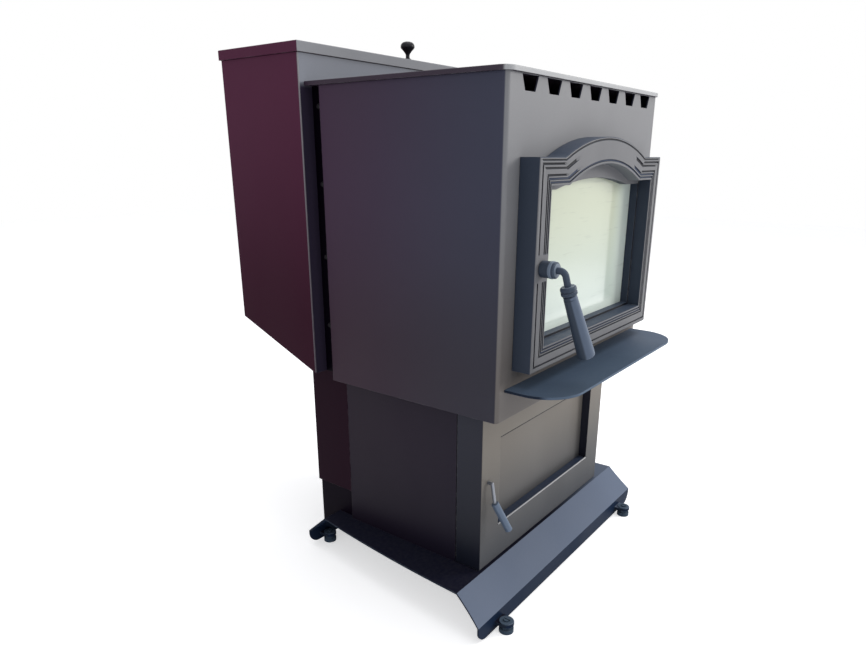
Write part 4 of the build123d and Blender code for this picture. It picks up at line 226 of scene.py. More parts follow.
@dataclass
class Effects:
    """Shader groups that several finishes share, each built once. Scales are clouds to the metre."""

    drift: float = 9.0
    rub: float = 70.0
    ash: float = 170.0
    wipe: float = 7.0
    buckle: float = 5.0
    roller: float = 12.0
    swirl: float = 40.0
    strand: float = 240.0
    reliefs: dict[Grain, NodeTree] = field(default_factory=dict)

    def start(self, name: str, takes: dict[str, str], gives: dict[str, str]) -> tuple[Board, Any, Any]:
        """Starts a group.

        Args:
            name: the group's name.
            takes: inputs and their kinds.
            gives: outputs and their kinds.

        Returns:
            Its board, its inputs and its outputs.
        """
        tree = bpy.data.node_groups.new(name, "ShaderNodeTree")
        for way, sockets in (("INPUT", takes), ("OUTPUT", gives)):
            for socket, kind in sockets.items():
                tree.interface.new_socket(socket, in_out=way, socket_type="NodeSocket" + kind)
        return Board(tree), tree.nodes.new("NodeGroupInput").outputs, tree.nodes.new("NodeGroupOutput").inputs

    @cached_property
    def painted_light_by_facing(self) -> NodeTree:
        """Painted light and shade of a coat by the way that its sheet faces: lit and shaded tones, a painted
        reflection tint towards the rear of the sides, tops painted lighter to the right as painted light, and painted
        shade towards the lower edge.

        Returns:
            Its group, with colours and heights in and a colour out.
        """
        takes = {n: "Color" for n in ("Front", "Side", "Aft", "Top", "Right", "Slope", "Fade")}
        board, given, put = self.start("painted_light_by_facing", takes | {"Low": "Float", "High": "Float"}, {"Color": "Color"})
        _, aft, up = board.split("Normal")
        x, y, z = board.split("Object")
        # Front, side and top tones are lit and shaded copies of one coat: painted light and shade.
        ahead = board.spread(board.math("MULTIPLY", aft, -1.0), *TO_THE_ROOM)
        # The side turns to the aft colour towards the rear: a painted reflection tint.
        flank = board.mix(board.spread(y, *ALONG_THE_SIDE), given["Side"], given["Aft"])
        colour = board.mix(ahead, flank, given["Front"])
        sloping = board.math("MULTIPLY", ahead, board.spread(up, *TIPPED_UP))
        colour = board.mix(sloping, colour, given["Slope"])
        # Up-facing faces get lighter to the right: painted light.
        level = board.mix(board.spread(x, *ACROSS_THE_TOP), given["Top"], given["Right"])
        colour = board.mix(board.spread(up, *LOOKING_UP), colour, level)
        # Painted shade towards the lower edge, left off faces that look to the rear.
        low = board.spread(z, given["Low"], given["High"], 1.0, 0.0)
        low = board.math("MULTIPLY", low, board.spread(aft, *TO_THE_WALL, 1.0, 0.0))
        board.feed(put["Color"], board.mix(low, colour, given["Fade"], "MULTIPLY"))
        return board.tree

    @cached_property
    def fleck(self) -> NodeTree:
        """Fine grain and slow drift in the lightness of a colour.

        Returns:
            Its group, with a colour, an amount and a scale in and a colour out.
        """
        takes = {"Color": "Color", "Amount": "Float", "Scale": "Float"}
        board, given, put = self.start("fleck", takes, {"Color": "Color"})
        fine = board.math("SUBTRACT", board.noise(given["Scale"], 3.0), MIDDLE)
        slow = board.math("SUBTRACT", board.noise(self.drift, 3.0), MIDDLE)
        both = board.math("ADD", board.math("MULTIPLY", fine, 2.0), slow)
        tone = board.math("ADD", board.math("MULTIPLY", both, given["Amount"]), 1.0)
        bright = board.node("VectorMath", operation="SCALE")
        board.feed(bright.inputs[0], given["Color"])
        board.feed(bright.inputs["Scale"], tone)
        board.feed(put["Color"], bright.outputs[0])
        return board.tree

    @cached_property
    def eased_edges(self) -> NodeTree:
        """Softly rounded normal along edges, and a broken mask where they are rubbed.

        Returns:
            Its group, with a radius and a wear in and a mask and a normal out.
        """
        takes = {"Radius": "Float", "Wear": "Float"}
        board, given, put = self.start("eased_edges", takes, {"Mask": "Float", "Normal": "Vector"})
        rounded = board.node("Bevel", samples=6)
        board.feed(rounded.inputs["Radius"], given["Radius"])
        turn = board.node("VectorMath", operation="DOT_PRODUCT")
        board.feed(turn.inputs[0], rounded.outputs["Normal"])
        board.feed(turn.inputs[1], board.node("NewGeometry").outputs["True Normal"])
        edge = board.spread(turn.outputs["Value"], *TURNED_AWAY)
        broken = board.spread(board.noise(self.rub, 4.0), *RUBBED_CLOUDS)
        mask = board.math("MULTIPLY", board.math("MULTIPLY", edge, broken), given["Wear"], clamp=True)
        board.feed(put["Mask"], mask)
        board.feed(put["Normal"], rounded.outputs["Normal"])
        return board.tree

    @cached_property
    def dust(self) -> NodeTree:
        """Mask of fine ash that lies on faces that look up.

        Returns:
            Its group, with an amount in and a mask out.
        """
        board, given, put = self.start("dust", {"Amount": "Float"}, {"Mask": "Float"})
        upward = board.spread(board.split("Normal")[2], *HOLDING_ASH)
        patches = board.spread(board.noise(self.ash, 6.0), *ASH_CLOUDS)
        lying = board.math("MULTIPLY", board.math("MULTIPLY", upward, patches), given["Amount"], clamp=True)
        board.feed(put["Mask"], lying)
        return board.tree

    @cached_property
    def smear(self) -> NodeTree:
        """Roughness that drifts between two values, as wiped surfaces do.

        Returns:
            Its group, with two values in and one out.
        """
        board, given, put = self.start("smear", {"Low": "Float", "High": "Float"}, {"Value": "Float"})
        wiped = board.noise(self.wipe, 4.0, WIPED)
        board.feed(put["Value"], board.spread(wiped, *CLOUDS, given["Low"], given["High"]))
        return board.tree

    def relief(self, grain: Grain) -> NodeTree:
        """Height of a surface's fine relief.

        Args:
            grain: which relief.

        Returns:
            Its group, with an input Scale and an output Height.
        """
        if grain not in self.reliefs:
            board, given, put = self.start(grain.value, {"Scale": "Float"}, {"Height": "Float"})
            scale = given["Scale"]
            if grain is Grain.PAINT:
                sheet = board.math("MULTIPLY", board.noise(self.buckle, 1.0), BUCKLE_DEPTH)
                height = board.math("ADD", board.noise(scale, 1.0), sheet)
            elif grain is Grain.CAST:
                pits = board.math("MULTIPLY", board.cells(scale, feature="SMOOTH_F1"), PIT_DEPTH)
                height = board.math("ADD", board.noise(scale, 4.0), pits)
            elif grain is Grain.ROLLED:
                height = board.math("ADD", board.noise(scale, 2.0, DRAWN), board.noise(self.roller, 2.0))
            elif grain is Grain.MOULDED:
                height = board.math("ADD", board.cells(scale), board.noise(self.swirl, 1.0))
            else:
                height = board.math("ADD", board.noise(scale, 4.0), board.noise(self.strand, 2.0, TWISTED))
            board.feed(put["Height"], height)
            self.reliefs[grain] = board.tree
        return self.reliefs[grain]


def blank(name: str) -> tuple[Material, Board, Node]:
    """Starts a material.

    Args:
        name: its name.

    Returns:
        The material, its board and its shader.
    """
    made = bpy.data.materials.new(name)
    made.use_nodes = True
    return made, Board(made.node_tree), made.node_tree.nodes["Principled BSDF"]


# ---- finishes ----
FLECK_SCALE = 1400.0
DUST_DULLS = 0.4
RELIEF_STRENGTH = 0.6
COAT_ROUGHNESS = 0.3


@dataclass(frozen=True)
class Finish:
    """Coat or bare surface of one kind of piece. Its front, side, aft, top, right and slope colours are lit and
    shaded tones of one coat: painted light and shade, with a painted reflection tint in the aft colour.
    """

    name: str
    front: Colour
    side: Colour
    top: Colour
    right: Colour | None = None
    slope: Colour | None = None
    aft: Colour | None = None
    # Painted shade: the colour that the coat is multiplied by towards its lower edge, and the heights over which this
    # comes in.
    painted_shade: Colour = WHITE
    painted_shade_over: Pair = (-1.0, 0.0)
    metallic: float = 0.0
    rough: Pair = (0.38, 0.5)
    specular: float = 0.16
    coat: float = 0.0
    grain: Grain = Grain.PAINT
    grain_scale: float = 900.0
    grain_depth: float = 0.00008
    fleck: float = 0.12
    wear: float = 0.35
    worn: Colour = (150, 150, 152)
    edge: float = 0.0012
    dust: float = 0.1
    ash: Colour = (150, 146, 140)

    def material(self, effects: Effects) -> Material:
        """Builds the material.

        Args:
            effects: the shared groups.

        Returns:
            The material.
        """
        made, board, shader = blank(self.name)
        tones = {"Front": self.front, "Side": self.side, "Top": self.top, "Fade": self.painted_shade}
        tones |= {"Right": self.right or self.top, "Aft": self.aft or self.side, "Slope": self.slope or self.front}
        low, high = self.painted_shade_over
        tint = board.place(effects.painted_light_by_facing, Low=low, High=high, **{n: linear(c) for n, c in tones.items()})
        grains = board.place(effects.fleck, Color=tint.outputs[0], Amount=self.fleck, Scale=FLECK_SCALE)
        edges = board.place(effects.eased_edges, Radius=self.edge, Wear=self.wear)
        lying = board.place(effects.dust, Amount=self.dust).outputs[0]
        colour = board.mix(edges.outputs["Mask"], grains.outputs[0], linear(self.worn))
        wiped = board.place(effects.smear, Low=self.rough[0], High=self.rough[1]).outputs[0]
        relief = board.place(effects.relief(self.grain), Scale=self.grain_scale).outputs[0]
        bump = {"Strength": RELIEF_STRENGTH, "Distance": self.grain_depth, "Height": relief}
        bump["Normal"] = edges.outputs["Normal"]
        board.fill(
            shader,
            {
                "Base Color": board.mix(lying, colour, linear(self.ash)),
                "Roughness": board.math("ADD", wiped, board.math("MULTIPLY", lying, DUST_DULLS), clamp=True),
                "Normal": board.fill(board.node("Bump"), bump).outputs[0],
                "Metallic": self.metallic,
                "Specular IOR Level": self.specular,
                "Coat Weight": self.coat,
                "Coat Roughness": COAT_ROUGHNESS,
            },
        )
        return made


@dataclass(frozen=True)
class GlassFinish:
    """Ceramic glass whose pale tones are a painted reflection of a bright room, with faint wiped streaks and a paler
    rim along its right and lower edges as painted light over the frame's shadow. Its spans are in metres.
    """

    name: str
    upper: Colour
    lower: Colour
    rim: Colour
    streak: Colour
    span: Pair
    lit_side_rim: Pair
    lit_foot_rim: Pair
    streaks: float = 70.0
    streak_shape: Point = (0.2, 1.0, 2.6)
    streak_clouds: Pair = (0.58, 0.74)
    streak_most: float = 0.14
    rough: Pair = (0.2, 0.23)
    coat: float = 0.6
    coat_rough: float = 0.06
    clear: float = 0.06

    def material(self, effects: Effects) -> Material:
        """Builds the material.

        Args:
            effects: the shared groups.

        Returns:
            The material.
        """
        made, board, shader = blank(self.name)
        x, _, z = board.split("Object")
        colour = board.mix(board.spread(z, *self.span), linear(self.lower), linear(self.upper))
        # Painted light along the right and lower edges, where the frame's shadow falls.
        shaded = board.math("MAXIMUM", board.spread(x, *self.lit_side_rim), board.spread(z, *self.lit_foot_rim, 1.0, 0.0))
        colour = board.mix(shaded, colour, linear(self.rim))
        clouds = board.noise(self.streaks, 4.0, self.streak_shape)
        wiped = board.spread(clouds, *self.streak_clouds, 0.0, self.streak_most)
        board.fill(
            shader,
            {
                "Base Color": board.mix(wiped, colour, linear(self.streak)),
                "Roughness": board.place(effects.smear, Low=self.rough[0], High=self.rough[1]).outputs[0],
                "Coat Weight": self.coat,
                "Coat Roughness": self.coat_rough,
                "Transmission Weight": self.clear,
            },
        )
        return made


# Lit front and shaded sides, a painted reflection tint towards the rear of the sides, and painted shade lower down
# the front.
CASING_PAINT = Finish(
    "casing_paint", front=(133, 134, 138), side=(59, 62, 79), top=(66, 66, 72), aft=(60, 40, 62),
    painted_shade=(216, 206, 196), painted_shade_over=(0.42, 0.72), worn=(160, 162, 168),
)
# Pale front as a painted highlight on the plate's front edge, and dark sides as painted shade along its side edges.
TOP_PLATE_PAINT = replace(
    CASING_PAINT, name="top_plate_paint", front=(176, 178, 181), side=(58, 50, 62), aft=(52, 40, 54), painted_shade=WHITE
)
# Dark shaded tones, and painted shade that darkens it towards the base.
PEDESTAL_PAINT = Finish(
    "pedestal_paint", front=(52, 50, 56), side=(36, 32, 45), top=(44, 42, 50), aft=(38, 29, 41),
    painted_shade=(196, 200, 214), painted_shade_over=(0.08, 0.3), specular=0.1, worn=(120, 120, 126),
)
# Lit front and shaded sides, and painted shade that darkens the front and turns it bluer towards the bottom.
ASH_DOOR_PAINT = Finish(
    "ash_door_paint", front=(134, 128, 120), side=(44, 45, 56), top=(84, 98, 122), painted_shade=(140, 150, 168),
    painted_shade_over=(0.09, 0.37), wear=0.7, worn=(150, 150, 150),
)
# Much paler than the door: a painted highlight along the recess's lower edge.
BEAD_HIGHLIGHT_PAINT = replace(
    ASH_DOOR_PAINT, name="bead_highlight_paint", front=(176, 178, 182), top=(190, 192, 196), slope=(186, 188, 192), painted_shade=WHITE
)
# Lit grey front and shaded burgundy sides: painted shade with a painted reflection tint on the sides, and painted
# shade lower down.
HOPPER_PAINT = Finish(
    "hopper_paint", front=(132, 134, 144), side=(82, 40, 63), top=(84, 56, 66), painted_shade=(160, 118, 146),
    painted_shade_over=(0.42, 0.9), specular=0.05, wear=0.4, worn=(150, 140, 148),
)
LID_PAINT = replace(HOPPER_PAINT, name="lid_paint", front=(140, 142, 148), top=(88, 66, 76), painted_shade=WHITE, dust=0.12)
# Painted shade on the front wall below the top plate's level, in the gap under the plate.
SHELL_PAINT = replace(
    HOPPER_PAINT, name="shell_paint", front=(132, 136, 146), side=(62, 34, 50), painted_shade=(104, 90, 112),
    painted_shade_over=(0.856, 0.868),
)
# Pale grey: a painted highlight along the front edge of each side cover, with painted shade lower down.
HEM_HIGHLIGHT_PAINT = replace(HOPPER_PAINT, name="hem_highlight_paint", front=(150, 150, 154), side=(132, 128, 134), painted_shade=(190, 184, 190))
REAR_PAINT = replace(
    HOPPER_PAINT, name="rear_paint", front=(52, 38, 46), side=(34, 15, 28), top=(40, 26, 34), painted_shade=WHITE,
    specular=0.03,
)
PLINTH_PAINT = replace(REAR_PAINT, name="plinth_paint", side=(15, 8, 20), wear=0.2)
# Near black: painted shade in the gap where the hopper mount sits.
NECK_SHADE_PAINT = replace(PLINTH_PAINT, name="neck_shade_paint", front=(8, 4, 12), side=(6, 3, 10))
# Dark lip and dark left of the top as painted shade; the right of the top and the sloped apron lit as painted light.
BASE_PAINT = Finish(
    "base_paint", front=(28, 41, 63), side=(34, 42, 56), top=(25, 26, 41), right=(92, 102, 120),
    slope=(105, 116, 136), specular=0.025, worn=(130, 140, 156), wear=0.4, dust=0.03,
)
FOOT_PAINT = replace(
    BASE_PAINT, name="foot_paint", front=(66, 80, 96), side=(60, 74, 90), top=(76, 90, 106), right=None
)
# Lighter to the right on its top: painted light.
SHELF_PAINT = replace(
    BASE_PAINT, name="shelf_paint", front=(92, 108, 128), top=(68, 82, 100), right=(86, 99, 118), slope=(66, 80, 100)
)
# Lit front and shaded sides of the casting: painted light and shade.
DOOR_CASTING = Finish(
    "door_casting", front=(118, 119, 123), side=(50, 58, 72), top=(54, 65, 83), slope=(52, 62, 78),
    grain=Grain.CAST, grain_scale=420.0, grain_depth=0.00025, rough=(0.45, 0.6), wear=0.75, worn=(164, 163, 162),
    fleck=0.2,
)
# Near black: painted shade in the casting's grooves and on the step of its jambs.
SHADED_GROOVE = replace(
    DOOR_CASTING, name="casting_groove_shade", front=(24, 26, 34), side=(22, 24, 32), top=(26, 30, 38), wear=0.0
)
# Grey sides and tops of the arch's soffit: painted light.
LIT_ARCH_SOFFIT = replace(
    DOOR_CASTING, name="casting_lit_soffit", side=(112, 115, 121), top=(104, 110, 120), slope=(104, 110, 120)
)
# Dark blue: painted shade in the inner grooves.
SHADED_BLUE_GROOVE = replace(SHADED_GROOVE, name="casting_blue_groove_shade", front=(50, 62, 86))
BLACK_SHEET = Finish(
    "black_sheet", front=(34, 34, 38), side=(28, 26, 30), top=(34, 34, 38), rough=(0.5, 0.65), wear=0.5,
    worn=(110, 108, 106),
)
DARK_CASTING = Finish(
    "dark_casting", front=(46, 44, 44), side=(42, 40, 40), top=(52, 49, 47), grain=Grain.CAST, grain_scale=320.0,
    grain_depth=0.0004, rough=(0.6, 0.8), fleck=0.3, wear=0.5, worn=(112, 100, 90), dust=0.6,
)
HEAT_STEEL = Finish(
    "heat_steel", front=(92, 88, 84), side=(86, 82, 80), top=(92, 88, 84), metallic=0.7, grain=Grain.ROLLED,
    grain_scale=500.0, rough=(0.4, 0.6), fleck=0.3, wear=0.3, worn=(130, 112, 96),
)
ZINC_STEEL = Finish(
    "zinc_steel", front=(168, 169, 172), side=(160, 161, 166), top=(172, 173, 175), metallic=0.85,
    grain=Grain.ROLLED, grain_scale=700.0, rough=(0.28, 0.42), fleck=0.18, wear=0.4, worn=(200, 200, 202),
)
MOTOR_ENAMEL = Finish(
    "motor_enamel", front=(58, 60, 64), side=(54, 56, 60), top=(60, 62, 66), coat=0.2, grain_scale=600.0
)
GRIP_RESIN = Finish(
    "grip_resin", front=(95, 108, 128), side=(52, 62, 76), top=(96, 110, 130), grain=Grain.MOULDED,
    grain_scale=1300.0, rough=(0.36, 0.46), wear=0.5, worn=(140, 150, 164),
)
# A paler copy of the grip resin: painted light on the ash handle's grip.
ASH_GRIP_RESIN = replace(GRIP_RESIN, name="ash_grip_resin", front=(106, 121, 142), side=(84, 97, 116))
ROD_RESIN = replace(GRIP_RESIN, name="rod_resin", front=(66, 78, 94), side=(58, 68, 84), top=(94, 106, 124))
SLEEVE_RESIN = replace(
    GRIP_RESIN, name="sleeve_resin", front=(60, 70, 84), side=(48, 57, 70), top=(62, 72, 88), worn=(96, 104, 118)
)
KNOB_RESIN = replace(
    GRIP_RESIN, name="knob_resin", front=(30, 30, 36), side=(26, 26, 32), top=(40, 40, 46), worn=(70, 70, 76)
)
PANEL_PLASTIC = replace(
    GRIP_RESIN, name="panel_plastic", front=(34, 34, 36), side=(38, 38, 41), top=(38, 38, 40), worn=(70, 70, 72)
)
HUB_RING = replace(GRIP_RESIN, name="hub_ring", front=(118, 130, 146), side=(104, 116, 132), top=(128, 140, 156))
# Pale front and top: a painted highlight on the wire.
LATCH_WIRE = replace(
    ZINC_STEEL, name="latch_wire", front=(146, 150, 158), side=(104, 108, 116), top=(160, 164, 170), metallic=0.45,
    worn=(170, 172, 176),
)
DIAL_MARK = replace(PANEL_PLASTIC, name="dial_mark", front=(220, 218, 210), side=(222, 220, 212), top=(220, 218, 210))
ROPE_SEAL = Finish(
    "rope_seal", front=(104, 100, 94), side=(100, 96, 90), top=(108, 104, 98), grain=Grain.FIBRE,
    grain_scale=1500.0, grain_depth=0.0005, rough=(0.85, 0.95), specular=0.1, fleck=0.4, wear=0.0, dust=0.4,
)
# Pale tones as a painted reflection of a bright room, and a paler rim as painted light over the frame's shadow.
WINDOW_GLASS = GlassFinish(
    "window_glass", upper=(221, 229, 204), lower=(204, 221, 212), rim=(242, 255, 246), streak=(132, 142, 136),
    span=(0.49, 0.7), lit_side_rim=(0.1, 0.172), lit_foot_rim=(0.493, 0.522),
)


# ---- workshop ----
def shown(name: str, data: ID) -> Object:
    """Puts a new object in the scene.

    Args:
        name: its name.
        data: its mesh, camera or lamp.

    Returns:
        The object.
    """
    made = bpy.data.objects.new(name, data)
    bpy.context.scene.collection.objects.link(made)
    return made


@dataclass
class Workshop:
    """Holds the materials, and turns shaped meshes into pieces of the stove."""

    effects: Effects = field(default_factory=Effects)
    coats: dict[str, Material] = field(default_factory=dict)

    def coat(self, finish: Finish | GlassFinish) -> Material:
        """Gives the material of a finish, built once.

        Args:
            finish: the finish.

        Returns:
            Its material.
        """
        if finish.name not in self.coats:
            self.coats[finish.name] = finish.material(self.effects)
        return self.coats[finish.name]

    def dress(self, finish: Finish | GlassFinish, *names: str) -> None:
        """Gives carried-over nodes their finish.

        Args:
            finish: the finish.
            names: the nodes.
        """
        for name in names:
            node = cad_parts[name]
            if not node.material_slots:
                node.data.materials.append(None)
            for slot in node.material_slots:
                slot.link = "OBJECT"
                slot.material = self.coat(finish)
            log.info("%s: %s", name, finish.name)

    def piece(
        self,
        shape: BMesh | Mesh,
        name: str,
        body: Body,
        slot: str,
        finishes: Iterable[Finish | GlassFinish],
        stands_for: Iterable[str] = (),
    ) -> Object:
        """Makes a piece from a shape, or from a mesh that is already in its place.

        Args:
            shape: its shape in millimetres, freed here, or its mesh in metres.
            name: its name.
            body: what it moves with.
            slot: the record's material slot; not used.
            finishes: its finishes, by material index.
            stands_for: nodes that it takes the place of.

        Returns:
            The piece.
        """
        mesh = shape if isinstance(shape, Mesh) else self.cast(shape, name)
        made = shown(name, mesh)
        for finish in finishes:
            mesh.materials.append(self.coat(finish))
        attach(made, body.value)
        if stands_for:
            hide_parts(*stands_for)
        log.info("%s: %d faces", name, len(mesh.polygons))
        return made

    def cast(self, shape: BMesh, name: str) -> Mesh:
        """Closes a shape that was modelled in millimetres and puts it in its place.

        Args:
            shape: the shape, freed here.
            name: name of the mesh.

        Returns:
            The mesh, in metres.
        """
        bmesh.ops.remove_doubles(shape, verts=shape.verts, dist=WELD)
        bmesh.ops.recalc_face_normals(shape, faces=shape.faces)
        for face in shape.faces:
            face.smooth = True
        for edge in shape.edges:
            edge.smooth = edge.calc_face_angle(0.0) < SMOOTH_ANGLE
        shape.transform(MILLIMETRES)
        mesh = bpy.data.meshes.new(name)
        shape.to_mesh(mesh)
        shape.free()
        return mesh


def soften(piece: Object, width: float) -> None:
    """Rounds the sharp edges of a piece.

    Args:
        piece: the piece.
        width: how wide the rounding is, in millimetres.
    """
    round_over = piece.modifiers.new("eased", "BEVEL")
    round_over.width = width / 1000
    round_over.segments = 2
    round_over.limit_method = "ANGLE"
    round_over.angle_limit = EASED_ANGLE
    round_over.harden_normals = False


def swollen(radius: float, profile: Profile, lift: float = 0.0) -> list[Pair]:
    """Adds a radius and a lift to a profile that is stated as steps away from them."""
    return [(radius + out, lift + height) for out, height in profile]


def turned(shape: BMesh, profile: Profile, foot: Point, tip: Point, steps: int = 40) -> None:
    """Turns a profile about a line, as on a lathe.

    Args:
        shape: takes the turned form.
        profile: radius and height above the foot of each point.
        foot: where the line starts.
        tip: a point further along the line.
        steps: faces round it.
    """
    along = Vector(tip) - Vector(foot)
    stand = Matrix.Translation(foot) @ along.to_track_quat("Z", "Y").to_matrix().to_4x4()
    points = [shape.verts.new((radius, 0.0, height)) for radius, height in profile]
    edges = [shape.edges.new(pair) for pair in zip(points, points[1:])]
    before = set(shape.verts) - set(points)
    bmesh.ops.spin(
        shape, geom=points + edges, cent=(0, 0, 0), axis=(0, 0, 1), angle=math.tau, steps=steps, use_merge=True
    )
    made = [vert for vert in shape.verts if vert not in before]
    bmesh.ops.transform(shape, matrix=stand, verts=made)
    bmesh.ops.remove_doubles(shape, verts=made, dist=SEAM)


def bar(shape: BMesh, low: Point, high: Point) -> None:
    """Adds a squared bar between two corners.

    Args:
        shape: takes the bar.
        low: its lowest corner.
        high: its highest corner.
    """
    middle = (Vector(low) + Vector(high)) / 2
    size = Vector(high) - Vector(low)
    bmesh.ops.create_cube(shape, size=1.0, matrix=Matrix.Translation(middle) @ Matrix.Diagonal((*size, 1.0)))


def bent_rod(shape: BMesh, start: Point, corner: Point, end: Point, radius: float, bend: float) -> None:
    """Sweeps a round rod along two straight runs joined by a bend.

    Args:
        shape: an empty shape, which takes the rod.
        start: centre of its first end.
        corner: where the two runs would meet.
        end: centre of its other end.
        radius: of the rod.
        bend: radius of the bend's centre line.
    """
    first = (Vector(corner) - Vector(start)).normalized()
    second = (Vector(end) - Vector(corner)).normalized()
    angle = first.angle(second)
    reach = bend * math.tan(angle / 2)
    inward = (second - first * second.dot(first)).normalized()
    centre = Vector(corner) - first * reach + inward * bend
    stand = Matrix.Translation(start) @ first.to_track_quat("Z", "Y").to_matrix().to_4x4()
    bmesh.ops.create_circle(shape, cap_ends=True, segments=ROD_SIDES, radius=radius, matrix=stand)
    cap = shape.faces[:]
    for run, way in ((Vector(corner) - Vector(start), first), (Vector(end) - Vector(corner), second)):
        if way is second:
            axis = first.cross(second).normalized()
            spun = bmesh.ops.spin(shape, geom=cap, cent=centre, axis=axis, angle=angle, steps=BEND_STEPS)
            cap = [item for item in spun["geom_last"] if isinstance(item, BMFace)]
        pulled = bmesh.ops.extrude_face_region(shape, geom=cap)["geom"]
        cap = [item for item in pulled if isinstance(item, BMFace)]
        moved = [item for item in pulled if isinstance(item, BMVert)]
        bmesh.ops.translate(shape, vec=way * (run.length - reach), verts=moved)
    discs = [face for face in shape.faces if len(face.verts) == ROD_SIDES]
    middles = [face.calc_center_median() for face in discs]
    inner = [f for f, at in zip(discs, middles) if all((at - Vector(e)).length > radius / 10 for e in (start, end))]
    bmesh.ops.delete(shape, geom=inner, context="FACES_ONLY")


# ---- loading door ----
class Zone(Enum):
    """Parts of the arched outline."""

    JAMB = "jamb"
    SHOULDER = "shoulder"
    SLOPE = "slope"
    ARCH = "arch"
    PAD = "pad"


class Coat(IntEnum):
    """Coats of the casting, by material index; the groove coats are painted shade and the soffit coat is painted
    light.
    """

    CAST = 0
    SHADED_GROOVE = 1
    SHADED_BLUE_GROOVE = 2
    LIT_SOFFIT = 3


NOWHERE = frozenset[Zone]()
ALL_ROUND = frozenset(Zone) - {Zone.PAD}
FRAME_ONLY = frozenset((Zone.JAMB, Zone.SHOULDER))
OVER_THE_TOP = frozenset((Zone.SHOULDER, Zone.SLOPE, Zone.ARCH))
UP_THE_SLOPE = frozenset((Zone.SHOULDER, Zone.SLOPE))
SLOPE_ONLY = frozenset((Zone.SLOPE,))
SIDE_POINTS = 9  # points of an outline on each side of its arch
PAD_POINTS = (2, 3)
LAST_POINTS = {Zone.JAMB: 5, Zone.SHOULDER: 7, Zone.SLOPE: 11}  # last point of each zone, counted from the foot


@dataclass(frozen=True)
class ArchedOutline:
    """Rectangle with a shallow arch that grows out of its top edge, in millimetres."""

    half: float
    bottom: float
    top: float
    arch_half: float
    rise: float
    foot_share: float = 0.16  # share of the rise that is a step at the arch's foot
    shoulder: float = 12.0
    nick: float = 4.0
    pad: Pair = (584.0, 622.0)
    pad_step: float = 1.5
    steps: int = 30

    def towards(self, other: "ArchedOutline", share: float) -> "ArchedOutline":
        """Gives the outline at a share of the way to another one."""
        names = ("half", "bottom", "top", "arch_half", "rise")
        return replace(self, **{n: getattr(self, n) + (getattr(other, n) - getattr(self, n)) * share for n in names})

    def points(self, y: float) -> list[Vector]:
        """Follows the outline from its lower left corner upwards.

        Args:
            y: its depth.

        Returns:
            Its points in order.
        """
        foot = self.top + self.rise * self.foot_share
        sagitta = self.rise * (1 - self.foot_share)
        radius = (self.arch_half**2 + sagitta**2) / (2 * sagitta)
        shape = bmesh.new()
        start = shape.verts.new((-self.arch_half, y, foot))
        bmesh.ops.spin(
            shape,
            geom=[start],
            cent=(0.0, y, self.top + self.rise - radius),
            axis=(0.0, 1.0, 0.0),
            angle=2 * math.asin(self.arch_half / radius),
            steps=self.steps,
            use_merge=False,
        )
        arc = sorted((vert.co.copy() for vert in shape.verts), key=lambda point: point.x)
        shape.free()
        shoulder = self.arch_half + self.shoulder
        run = (self.half, self.half - self.nick, shoulder + self.nick, shoulder)
        levels = (self.bottom, self.pad[0] - self.pad_step, *self.pad, self.pad[1] + self.pad_step)
        left = [(-self.half, z) for z in levels] + [(-x, self.top) for x in run]
        return [Vector((x, y, z)) for x, z in left] + arc + [Vector((-x, y, z)) for x, z in reversed(left)]

    def zone(self, index: int) -> Zone:
        """Tells where a point of the outline lies.

        Args:
            index: the point's place in the run.

        Returns:
            Its zone; the pad lies on the left jamb only, about the hub.
        """
        if index in PAD_POINTS:
            return Zone.PAD
        rank = min(index, self.steps + 2 * SIDE_POINTS - index)
        return next((zone for zone, last in LAST_POINTS.items() if rank <= last), Zone.ARCH)


@dataclass(frozen=True)
class Cut:
    """Place where the face of the casting changes level, as a share of the way from its outer edge to the window."""

    start: float
    zones: frozenset[Zone] = NOWHERE
    coat: Coat = Coat.CAST
    depth: float = 1.8


PLAIN = Cut(0.0)


@dataclass(frozen=True)
class Station:
    """One outline of the casting, the cut that it lies in, and the coat of the faces before it in some zones."""

    outline: ArchedOutline
    y: float
    cut: Cut = PLAIN
    coat: Coat = Coat.CAST
    coated: frozenset[Zone] = NOWHERE

    def points(self) -> list[Vector]:
        """Follows the outline, sunk where the cut runs.

        Returns:
            Its points in order.
        """
        points = self.outline.points(self.y)
        for index, point in enumerate(points):
            if self.outline.zone(index) in self.cut.zones:
                point.y += self.cut.depth
        return points

    def coat_of(self, index: int, count: int) -> Coat:
        """Picks the coat of the face at a place in a run of so many, before the outline."""
        zones = {self.outline.zone(index), self.outline.zone((index + 1) % count)}
        return self.coat if zones <= self.coated else Coat.CAST


